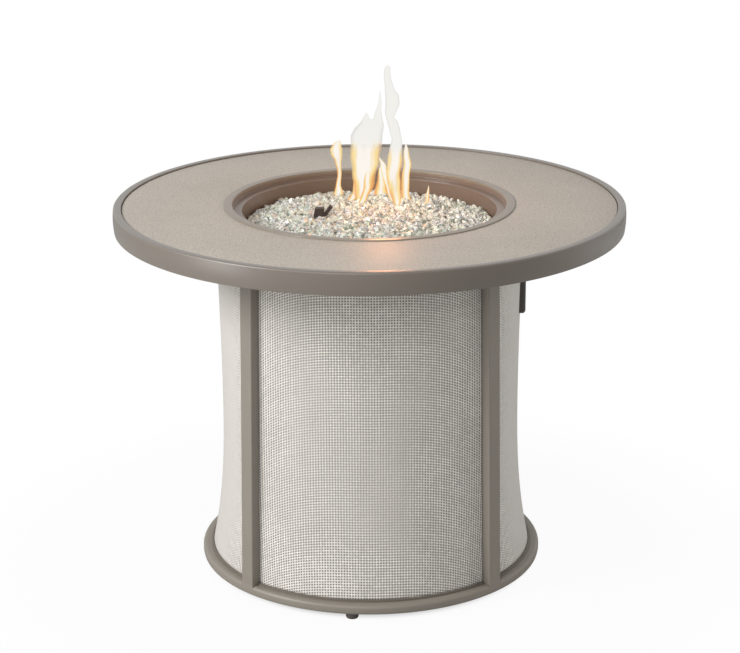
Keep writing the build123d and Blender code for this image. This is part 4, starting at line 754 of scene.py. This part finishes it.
class FIREPIT_OT_glass(Operator):
    """Crushed glass: a bed, and three scattered layers of tumbled pieces on it"""

    bl_idname = "firepit.glass"
    bl_label = "Fire glass"

    def execute(self, context):
        sizes = context.scene.fire_pit_sizes
        edge = R_BOWL - 0.0006
        radius = np.append(np.linspace(0, edge, 70), [edge, 0.0])[:, None]
        angle = round_angles(216)
        x, y = radius * np.sin(angle), -radius * np.cos(angle)
        z = glass_height(x, y) - BED_DROP
        z[-2:] = BED_UNDER
        points = np.stack([x, y, z], -1)
        bed = tidy(piece_from("glass_bed", points, grid_faces(points, False, True)))
        wear(bed, TABLE, "glass_bed", "glass_fill", "fire_glass")
        rng = np.random.default_rng(sizes.seed)
        for layer, (lift, pitch) in enumerate(GLASS_LAYERS):
            centres = self.scatter(rng, pitch, sizes.gem)
            height = glass_height(*centres.T) + lift + rng.uniform(-0.0012, 0.0014, len(centres))
            gems = self.gems(rng, f"glass_pieces_{layer}", np.column_stack([centres, height]), sizes.gem)
            wear(gems, TABLE, "crushed_glass", "glass_fill", "fire_glass")
        return {"FINISHED"}

    def scatter(self, rng, pitch, gem):
        """Hexagonal grid of the pitch, each point moved at random, inside the bowl and off the sensor."""
        count = int(R_BOWL / pitch) + 2
        row, column = np.mgrid[-count : count + 1, -count : count + 1]
        points = np.stack([(column + 0.5 * (row % 2)) * pitch, row * pitch * 0.87], -1).reshape(-1, 2)
        points = points + rng.uniform(-0.42, 0.42, points.shape) * pitch
        inside = np.linalg.norm(points, axis=1) < R_BOWL - gem * 0.95
        hood = (np.abs(points[:, 0] + 0.0775) < 0.0165) & (np.abs(points[:, 1] - 0.011) < 0.0135)
        return points[inside & ~hood]

    def gems(self, rng, name, centres, size):
        """Tumbled chips: an octahedron split once, stretched, dented and turned at random.

        A point's distance from the centre is the size times a stretch along each axis times a dent, a unit
        quaternion turns it, and the bowl's wall holds it in. Each facet gets a random value for its painted
        reflections."""
        corners = np.repeat(np.eye(3), 2, axis=0) * np.tile([[1.0], [-1.0]], (3, 1))
        sides = [(0, 2, 4), (2, 1, 4), (1, 3, 4), (3, 0, 4), (2, 0, 5), (1, 2, 5), (3, 1, 5), (0, 3, 5)]
        a, b, c = np.transpose(sides)
        pairs = np.sort([(a, b), (b, c), (c, a)], axis=1).transpose(0, 2, 1)
        edges, place = np.unique(pairs.reshape(-1, 2), axis=0, return_inverse=True)
        ab, bc, ca = len(corners) + place.reshape(3, -1)
        points = np.vstack([corners, corners[edges].mean(1)])
        points /= np.linalg.norm(points, axis=1, keepdims=True) ** 0.8
        faces = np.array([(a, ab, ca), (b, bc, ab), (c, ca, bc), (ab, bc, ca)])
        faces = faces.transpose(2, 0, 1).reshape(-1, 3)
        count = len(centres)
        stretch = rng.uniform(0.72, 1.28, (count, 1, 3)) * rng.uniform(0.80, 1.12, (count, 1, 1))
        dent = rng.uniform(0.82, 1.08, (count, len(points), 1))
        local = points * stretch * dent * size
        turn = unit(rng.normal(size=(count, 1, 4)))
        axis = turn[..., 1:]
        swing = np.cross(axis, local)
        placed = local + 2 * (turn[..., :1] * swing + np.cross(axis, swing)) + centres[:, None]
        reach = np.hypot(placed[..., 0], placed[..., 1])[..., None]
        placed[..., :2] *= np.minimum(1, (R_BOWL - 0.0004) / np.maximum(reach, 1e-6))
        offsets = np.arange(count)[:, None, None] * len(points)
        gems = piece_from(name, placed, (faces[None] + offsets).reshape(-1, 3))
        gems.data.shade_flat()
        # Random value for each facet's painted reflections
        facet = gems.data.attributes.new("facet", "FLOAT", "FACE")
        facet.data.foreach_set("value", rng.uniform(0, 1, len(faces) * count).astype(np.float32))
        return gems


def post_radius(z):
    """Radius of the posts' outer faces at a height."""
    return POST_R_LOW + (POST_R_HIGH - POST_R_LOW) * (z - RING_TOP) / (POST_TOP - RING_TOP)


def panel_surface(name, azimuth, low, high, grip, rows=120, columns=90):
    """Stretched panel: at each height a circular arc through both grooves and the waist curve.

    The waist curve's radius is 235.9 mm at 280 mm, and grows by powers of the distance from there.
    The map follows the cloth in metres; the pull of the sides lifts the weft by the cube of the offset."""
    z = np.linspace(low, high, rows)[:, None]
    depth = post_radius(z) - GROOVE_DEPTH
    edge_x, edge_y = (depth - grip) * cos(pi / 4), (depth + grip) * cos(pi / 4)
    below = np.clip(1 - z / WAIST_Z, 0, None) ** 2.65
    above = np.clip((z - WAIST_Z) / (POST_TOP - WAIST_Z), 0, None) ** 1.8
    middle = WAIST_R + FOOT_FLARE * below + HEAD_FLARE * above
    rise = middle - edge_y
    radius = (edge_x**2 + rise**2) / (2 * rise)
    half = np.arcsin(edge_x / radius)
    share = np.linspace(-1, 1, columns)[None, :]
    across = radius * np.sin(share * half)
    out = middle - radius + radius * np.cos(share * half)
    a = radians(azimuth)
    points = np.stack([across * cos(a) + out * sin(a), across * sin(a) - out * cos(a), z + 0 * share], -1)
    slope = np.hypot(np.gradient(out, axis=0), np.gradient(z, axis=0))
    run = np.cumsum(slope, axis=0)
    uv = np.stack([radius * half * share, run + BOW * np.abs(share) ** 3], -1)
    step = np.diff(points, axis=0)[:, :-1], np.diff(points, axis=1)[:-1]
    area = float(np.linalg.norm(np.cross(step[0], step[1]), axis=-1).sum())
    size = (float(2 * (radius * half).max()), float(run[-1, columns // 2] - run[0, columns // 2]))
    return piece_from(name, points, grid_faces(points)[:, ::-1], uv), size, area


class FIREPIT_OT_panels(Operator):
    """Mesh panels: three fixed ones in the posts' grooves and the door's, drawn in at the waist"""

    bl_idname = "firepit.panels"
    bl_label = "Mesh panels"

    def execute(self, context):
        fixed = PANEL_LOW, PANEL_HIGH, CLOTH_GRIP, TABLE, ["bottom_tracks", "top_tracks"]
        panels = (
            *((side, azimuth, *fixed) for side, azimuth in (("front", 0), ("left", -90), ("right", 90))),
            ("door", 180, DOOR_LOW, DOOR_HIGH, DOOR_GRIP, DOOR, ["door_frame"]),
        )
        for side, azimuth, low, high, grip, body, holders in panels:
            panel, size, area = panel_surface(f"panel_{side}", azimuth, low, high, grip)
            if side == "right":
                area -= self.cut_window(panel)
            thick = panel.modifiers.new("cloth thickness", "SOLIDIFY")
            thick.thickness = CLOTH_THICK
            thick.offset = 0
            wear(panel, body, "panel_mesh", "sling_mesh", f"sling_{side}")
        # The tracks' darker coating also holds painted shade
        coat("track_coating_and_shade", "bottom_tracks", "top_tracks")
        coat("black_moulding", "sling_splines")
        return {"FINISHED"}

    def cut_window(self, panel):
        """Cuts the opening behind the control plate, and gives back its area."""
        work = bmesh.new()
        work.from_mesh(panel.data)
        up, aside = Vector((0, 0, 1)), Vector((0, 1, 0))
        cuts = (up, WINDOW_LOW), (up, WINDOW_HIGH), (aside, -WINDOW_HALF), (aside, WINDOW_HALF)
        for normal, place in cuts:
            geometry = work.verts[:] + work.edges[:] + work.faces[:]
            bmesh.ops.bisect_plane(work, geom=geometry, plane_co=normal * place, plane_no=normal)
        middles = ((face, face.calc_center_median()) for face in work.faces)
        level = (pair for pair in middles if WINDOW_LOW < pair[1].z < WINDOW_HIGH)
        inside = [face for face, middle in level if abs(middle.y) < WINDOW_HALF]
        area = sum(face.calc_area() for face in inside)
        bmesh.ops.delete(work, geom=inside, context="FACES")
        work.to_mesh(panel.data)
        work.free()
        panel.data.shade_smooth()
        return area


class FIREPIT_OT_base(Operator):
    """Base: rolled bottom ring, top ring, posts and the moulded feet"""

    bl_idname = "firepit.base"
    bl_label = "Base frame"

    def execute(self, context):
        inner, outer, under = RING_IN + RING_WALL, RING_OUT - RING_WALL, RING_TOP - RING_WALL
        corners = [
            (RING_OUT - 0.0009, RING_LOW), (RING_OUT, RING_LOW + 0.0036), (RING_OUT, RING_TOP),
            (RING_IN, RING_TOP), (RING_IN, RING_LOW), (inner, RING_LOW), (inner, under), (outer, under),
            (outer, RING_LOW + 0.0040), (RING_OUT - 0.0034, RING_LOW),
        ]
        radii = [0.0008, 0.0040, 0.0060, 0.0020, 0.0006, 0.0006, 0.0010, 0.0036, 0.0030, 0.0006]
        ring = turned("base_ring", eased(corners, radii, 8))
        wear(ring, TABLE, "frame_coating", "frame_paint", "bottom_ring")
        root, face, over = 0.2660, RING_OUT - 0.0004, RING_TOP + 0.0010
        low, high = (root, RING_LOW + 0.003), (root, over)
        seam = [low, (face, RING_LOW + 0.005), (face, RING_TOP - 0.004), (POST_R_LOW, over), high]
        welds = []
        for azimuth in (45, 135, 225, 315):
            weld = prism(f"weld_{azimuth}", eased(seam, 0.0008, 3), -POST_HALF, POST_HALF)
            weld.data.transform(Matrix.Rotation(radians(azimuth - 90), 4, "Z"))
            welds.append(weld)
        wear(joined("post_welds", welds), TABLE, "frame_coating", "frame_paint")
        coat("frame_coating", "top_ring", "post_front_left", "post_front_right", "post_rear_left",
             "post_rear_right", "door_frame", "hinge_brackets")
        coat("inner_coating", "top_arms", "support_ring", "tray_bars", "tank_tray", "tank_collar")
        coat("zinc_plate", "top_screws", "catch_plate")
        coat("satin_steel", "hinge_pins")
        coat("black_moulding", "catch_magnet")
        feet = []
        outline = MM * np.array([
            (0, 0), (8.2, 0), (9, 0.4), (9.5, 1.4), (10.6, 7.8), (11, 9.2), (10.9, 9.9), (9.5, 10),
            (9.5, 17.4), (4.9, 22), (0, 22),
        ])
        for turn in (0, 90, 180, 270):
            a = radians(turn - FOOT_TURN)
            place = Matrix.Translation((FOOT_R * sin(a), -FOOT_R * cos(a), 0))
            feet.append(turned(f"foot_{turn}", outline, 40, place, closed=False))
        wear(joined("feet", feet), TABLE, "foot_moulding", "glide_plastic", "foot_glides")
        return {"FINISHED"}


class FIREPIT_OT_door(Operator):
    """Bent bar pull on the rear door's free stile"""

    bl_idname = "firepit.door"
    bl_label = "Door pull"

    def execute(self, context):
        low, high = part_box("door_pull")
        azimuth, inwards = radians(135), 0.0225
        outwards = np.array([sin(azimuth), -cos(azimuth), 0])
        along = np.array([cos(azimuth), sin(azimuth), 0])
        middle = 0.5 * (low.z + high.z)
        reach = np.array([-9.3, 4, 9.2, 11.2, 11.5, 11.5, 11.2, 9.2, 4, -9.3])[:, None] * MM
        rise = np.array([-34.5, -34.5, -32.5, -27, -9, 9, 27, 32.5, 34.5, 34.5])[:, None] * MM + middle
        route = outwards * (post_radius(rise) + reach) + along * inwards + rise * (0, 0, 1)
        wear(piped("pull", route, PULL_BAR), DOOR, "frame_coating", "frame_paint", "door_pull")
        return {"FINISHED"}


class FIREPIT_OT_controls(Operator):
    """Fluted knob with its index mark, and finishes of the control plate, igniter and valve"""

    bl_idname = "firepit.controls"
    bl_label = "Controls"

    def execute(self, context):
        wear(self.fluted_knob(), KNOB, "black_moulding", "black_plastic", "control_knob")
        x, y, z = KNOB_CENTRE
        mark = eased([(-0.0011, 0.0025), (0.0011, 0.0025), (0.0011, 0.0130), (-0.0011, 0.0130)], 0.0008, 4)
        middle = mark.mean(0)
        rings = [
            np.insert(middle + (mark - middle) * scale + (y, z), 0, x + height, axis=1)
            for height, scale in ((0.0236, 1.0), (0.0243, 1.0), (0.0247, 0.964))
        ]
        wear(skinned("knob_mark", np.stack(rings)), KNOB, "index_mark", "black_plastic")
        coil = spring("spindle_coil", PLUG_SPRING, 0.0068, 0.0060, 0.00055, 2.5)
        wear(coil, PLUG, "satin_steel", "steel", "spindle_spring")
        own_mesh(coil)
        coil = spring("igniter_coil", BUTTON_SPRING, 0.0174, 0.0050, 0.00045, 6.5)
        wear(coil, TABLE, "satin_steel", "steel", "igniter_spring")
        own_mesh(coil)
        coat("satin_steel", "igniter_bezel", "valve_spindle")
        coat("plate_coating", "control_plate")
        coat("inner_coating", "control_bracket")
        coat("black_moulding", "igniter_button", "igniter_body", "lead_clips")
        coat("zinc_plate", "control_screws", "igniter_battery", "air_mixer")
        coat("turned_brass", "valve_plug", "bracket_nuts", "valve_inlet", "fitting_nuts", "gas_orifice",
             "gas_elbow")
        coat("drawn_tube", "valve_tube")
        coat("die_casting", "valve_body", "valve_bonnet")
        coat("silicone", "thermocouple_lead", "igniter_lead")
        return {"FINISHED"}

    def fluted_knob(self):
        """Knob turned round +X: the grip's radius dips in ten flutes by the twelfth power of a cosine."""
        reach, rise = MM * np.array([
            (0, 0), (18.5, 0), (19.8, 0.8), (20, 2.2), (19.7, 3.6), (18.5, 4.4), (16.9, 5), (16.6, 7),
            (16.3, 13), (16, 19), (15.7, 21.8), (14.8, 23.4), (13.5, 24), (9, 23.8), (0, 23.7),
        ]).T
        depth = np.interp(rise, (0.0044, 0.0072, 0.0215, 0.0239), (0, 1, 1, 0)) * (reach > 0.012)
        angle = round_angles(240)[:, None]
        radius = reach - 0.0021 * np.abs(np.cos(5 * (angle - pi / 10))) ** 12 * depth
        x, y, z = KNOB_CENTRE
        points = np.stack([x + rise + 0 * angle, y + radius * np.sin(angle), z + radius * np.cos(angle)], -1)
        return tidy(piece_from("knob", points, grid_faces(points, True, False)), 40)


# Stage: floor, world, lamps, camera and the flames, none of which is part of the table

FLAME_FOOT = 0.560
FLAME_RINGS = 60
# Flames in mm: depth behind the middle, then height over the foot, left edge and right edge
TONGUES = {
    "left": (140, [(2, -63, -39), (10, -58, -43), (20, -54.5, -45.5), (36, -52.5, -45.5), (51, -53, -45),
                   (62, -56, -44.5), (72, -63, -44), (81, -64, -43.5), (90, -58, -44.5), (97, -48, -46)]),
    "wide": (100, [(2, -22, -15), (9, -23, -6), (18, -25, 3), (31, -26, 8), (50, -27.5, 11), (77, -30, 17),
                   (98, -30, 20), (112, -29, 22), (124, -24, 22.5), (133, -15, 21), (140, -9, 12)]),
    "wide foot": (110, [(0, -43, -28), (6, -35, -22), (16, -28, -17), (35, -25, -15), (55, -24, -18)]),
    "near foot": (72, [(4, -20, -11), (15, -15, -3), (35, -10, 3), (60, -6, 2)]),
    "crest": (99, [(118, -25, 2), (128, -18, 5), (138, -11.5, 1), (151, -4, -2.5)]),
    "horn": (99, [(114, -4, 23), (128, 2, 23.5), (141, 7.5, 21), (164, 14, 19.5), (186, 17.5, 19)]),
    "tall": (55, [(3, 41, 45), (13, 37, 50), (26, 33, 51.5), (42, 29, 50), (60, 27, 50), (80, 28, 52.5),
                  (104, 32.5, 52), (118, 35.5, 51), (131, 32.5, 49.5), (144, 28, 45), (156, 26, 36)]),
    "plume": (56, [(136, 31, 44), (150, 27, 39), (160, 25.5, 43.5), (173, 25.5, 47.5), (186, 26, 47.5),
                   (198, 25, 39), (211, 23.5, 35), (224, 24, 34), (235, 26, 33)]),
    "brace": (70, [(8, 36, 44), (20, 30, 40), (30, 27, 35), (43, 23, 30), (57, 20, 30), (70, 17, 27),
                   (84, 15.5, 17)]),
    "right": (100, [(1, 54, 71), (14, 51.5, 65), (31, 50.5, 64), (47, 52, 65.5), (66, 55, 67.5),
                    (85, 55.5, 64), (100, 57, 59)]),
    "ember": (150, [(0, 6, 33), (17, 10, 29), (30, 13, 26), (50, 16.5, 20)]),
    "pilot": (86, [(2, 88, 94), (10, 90, 97), (20, 91.5, 96.5), (34, 94, 95)]),
}


def flame_tongue(name, depth, outline, material):
    """Flame: at each height an ellipse between the outline's two edges, closed at both ends.

    Edges are carried between the given heights on cosine steps, and waver with the height. The map runs
    from edge to edge across the flame and from foot to tip."""
    outline = np.array(outline) * MM
    depth *= MM
    z = np.linspace(outline[0, 0], outline[-1, 0], FLAME_RINGS)
    number = np.arange(len(outline))
    knots = np.interp(z, outline[:, 0], number)
    soft = 0.7 * knots + 0.3 * (np.floor(knots) + 0.5 - 0.5 * np.cos(pi * (knots % 1)))
    left, right = (np.interp(soft, number, outline[:, k]) for k in (1, 2))
    close = np.clip(np.minimum(z - z[0], z[-1] - z) / 0.004, 0, 1) ** 0.5
    wide = (np.maximum(right - left, 0.001) / 2 * close)[:, None]
    centre = ((left + right) / 2 + 0.0005 * np.sin(z * 190 + depth * 900))[:, None]
    z, angle = z[:, None], round_angles(40)
    across, back = centre + wide * np.cos(angle), depth + 0.45 * wide * np.sin(angle)
    points = np.stack([across, back, FLAME_FOOT + z + 0 * angle], -1)
    rise = np.linspace(0, 1, FLAME_RINGS)[:, None]
    uv = np.stack([0.5 + 0.5 * np.cos(angle) + 0 * z, rise + 0 * angle], -1)
    flame = piece_from(f"flame_{name}", points, grid_faces(points, False, True), uv)
    flame.data.materials.append(material)
    flame.visible_shadow = False


def glow_over(tree, share, under, colour):
    """Ends a material: a share of glow in a colour over another shader."""
    glow = put(tree, "ShaderNodeEmission", {"Color": colour, "Strength": 1.0})
    mix = put(tree, "ShaderNodeMixShader", {0: share, 1: under[0], 2: glow[0]})
    put(tree, "ShaderNodeOutputMaterial", {"Surface": mix[0]})


def flame_material():
    """Glow: orange and thin at edges and foot, near white in the body, pale grey and thin higher up."""
    material, tree = blank("flame")
    at = put(tree, "ShaderNodeTexCoord")
    height, share = axes(at["Object"])[2], axes(at["UV"])
    edge = (share[0] * 2.0 - 1.0).math("ABSOLUTE")
    drawn = put(tree, "ShaderNodeMapping", {"Vector": at["Object"], "Scale": (95.0, 95.0, 17.0)})[0]
    lick = noise(drawn, 1.0, 3.0)
    low = height.ramp(0.635, 0.575, 0.0, 0.30)
    heat = ((lick - 0.5) * 1.5 + 1.22 - edge).math("SUBTRACT", low, clamp=True)
    warm = blend(heat.ramp(0.05, 0.45), srgb(242, 172, 104), srgb(252, 224, 156))
    body = blend(heat.ramp(0.40, 0.90), warm, srgb(252, 246, 238))
    pale = blend(edge.ramp(0.97, 0.70), srgb(224, 223, 219), srgb(242, 240, 235))
    upper = height.ramp(0.645, 0.668)
    colour = blend(upper, body, pale)
    cover = edge.ramp(1.0, 0.72, 0.25, 1.0) * lick.ramp(0.25, 0.60, 0.62, 0.97)
    cover = cover.math("MAXIMUM", upper * 0.8) * share[1].ramp(0.0, 0.10, 0.25, 1.0)
    glow_over(tree, cover, put(tree, "ShaderNodeBsdfTransparent"), colour)
    return material


# Lamps: name, place, size in metres, watts. The fill gives no highlights.
LAMPS = (
    ("key", (-4.1, -1.9, 3.2), 2.3, 215.0),
    ("side", (-2.9, -1.5, 0.3), 0.9, 15.0),
    ("fill", (3.2, 0.75, 0.8), 1.4, 42.0),
    ("front", (-0.4, -2.4, 1.5), 1.0, 14.0),
)
LAMP_AIM = Vector((0, 0, 0.35))
CAMERA_PLACE = (0, -3.2652, 1.4322)
CAMERA_TILT = 0.3106
CAMERA_ROLL = -0.0047
CAMERA_LENS = 104.64
WHITE = (1, 1, 1)


class FIREPIT_OT_stage(Operator):
    """Plain floor, pale world, soft lamps, the camera and the flames"""

    bl_idname = "firepit.stage"
    bl_label = "Stage"

    def execute(self, context):
        scene = context.scene
        self.floor()
        self.world(scene)
        self.lamps()
        self.camera(scene)
        material = flame_material()
        for name, (depth, outline) in TONGUES.items():
            flame_tongue(name, depth, outline, material)
        scene.view_settings.view_transform = "Standard"
        return {"FINISHED"}

    def floor(self):
        """Disc of floor that is white to the camera and keeps the table's shadow."""
        radius = np.linspace(0, 14.0, 8)
        disc = turned("floor", np.stack([radius, 0 * radius], -1), 96, closed=False)
        material, tree = blank("pale_floor")
        at = put(tree, "ShaderNodeTexCoord")["Object"]
        away = put(tree, "ShaderNodeVectorMath", {0: at}, operation="LENGTH")["Value"]
        pale = away.ramp(0.240, 0.272, 0.42, 0.95) + away.ramp(0.40, 0.80, 0, 0.05)
        share = put(tree, "ShaderNodeLightPath")["Is Camera Ray"] * pale
        glow_over(tree, share, put(tree, "ShaderNodeBsdfDiffuse", {"Color": (0.60, 0.60, 0.60)}), WHITE)
        disc.data.materials.append(material)

    def world(self, scene):
        """Even pale surroundings: white where they are seen, less where they are mirrored."""
        scene.world = bpy.data.worlds.new("studio")
        scene.world.use_nodes = True
        tree = scene.world.node_tree
        tree.nodes.clear()
        path = put(tree, "ShaderNodeLightPath")
        seen = path["Is Camera Ray"].math("ADD", path["Is Transmission Ray"], clamp=True)
        level = seen.ramp(0, 1, 0.28, 1.0).math("MAXIMUM", path["Is Glossy Ray"] * 0.8)
        light = put(tree, "ShaderNodeBackground", {"Color": WHITE, "Strength": level})
        put(tree, "ShaderNodeOutputWorld", {"Surface": light[0]})

    def lamps(self):
        """Large soft lamps from the left, the right and the front, and the flames' own warm light."""
        for name, place, size, watts in LAMPS:
            lamp = bpy.data.lights.new(name, "AREA")
            lamp.shape, lamp.size, lamp.energy = "DISK", size, watts
            obj = linked(name, lamp)
            obj.visible_glossy = name != "fill"
            turn = (LAMP_AIM - Vector(place)).to_track_quat("-Z", "Y")
            obj.matrix_world = Matrix.Translation(place) @ turn.to_matrix().to_4x4()
        lamp = bpy.data.lights.new("fire", "POINT")
        lamp.color = srgb(255, 172, 120)
        lamp.energy = 0.50
        lamp.shadow_soft_size = 0.03
        linked("fire", lamp).location = (0.024, -0.01, 0.682)

    def camera(self, scene):
        """Long lens from the front, 17.8 degrees down, as the photograph was taken."""
        lens = bpy.data.cameras.new("camera")
        lens.lens = CAMERA_LENS
        scene.camera = linked("camera", lens)
        tilt = Matrix.Rotation(pi / 2 - CAMERA_TILT, 4, "X") @ Matrix.Rotation(CAMERA_ROLL, 4, "Z")
        scene.camera.matrix_world = Matrix.Translation(CAMERA_PLACE) @ tilt


STEPS = (
    FIREPIT_OT_rim,
    FIREPIT_OT_stone,
    FIREPIT_OT_bowl,
    FIREPIT_OT_glass,
    FIREPIT_OT_panels,
    FIREPIT_OT_base,
    FIREPIT_OT_door,
    FIREPIT_OT_controls,
    FIREPIT_OT_stage,
)


class FIREPIT_PT_panel(Panel):
    """Lists the table's pieces, colours and sizes"""

    bl_label = "Fire pit table"
    bl_idname = "FIREPIT_PT_panel"
    bl_space_type = "VIEW_3D"
    bl_region_type = "UI"
    bl_category = "Fire Pit"

    def draw(self, context):
        for step in STEPS:
            self.layout.operator(step.bl_idname)
        for settings in (context.scene.fire_pit_colours, context.scene.fire_pit_sizes):
            for name in settings.__annotations__:
                self.layout.prop(settings, name)


CLASSES = (FirePitColours, FirePitSizes, *STEPS, FIREPIT_PT_panel)


def register():
    for cls in CLASSES:
        bpy.utils.register_class(cls)
    bpy.types.Scene.fire_pit_colours = PointerProperty(type=FirePitColours)
    bpy.types.Scene.fire_pit_sizes = PointerProperty(type=FirePitSizes)


def unregister():
    del bpy.types.Scene.fire_pit_sizes
    del bpy.types.Scene.fire_pit_colours
    for cls in reversed(CLASSES):
        bpy.utils.unregister_class(cls)


def main():
    """Makes every piece and the stage."""
    register()
    for step in STEPS:
        space, name = step.bl_idname.split(".")
        getattr(getattr(bpy.ops, space), name)()


if __name__ == "__main__":
    main()
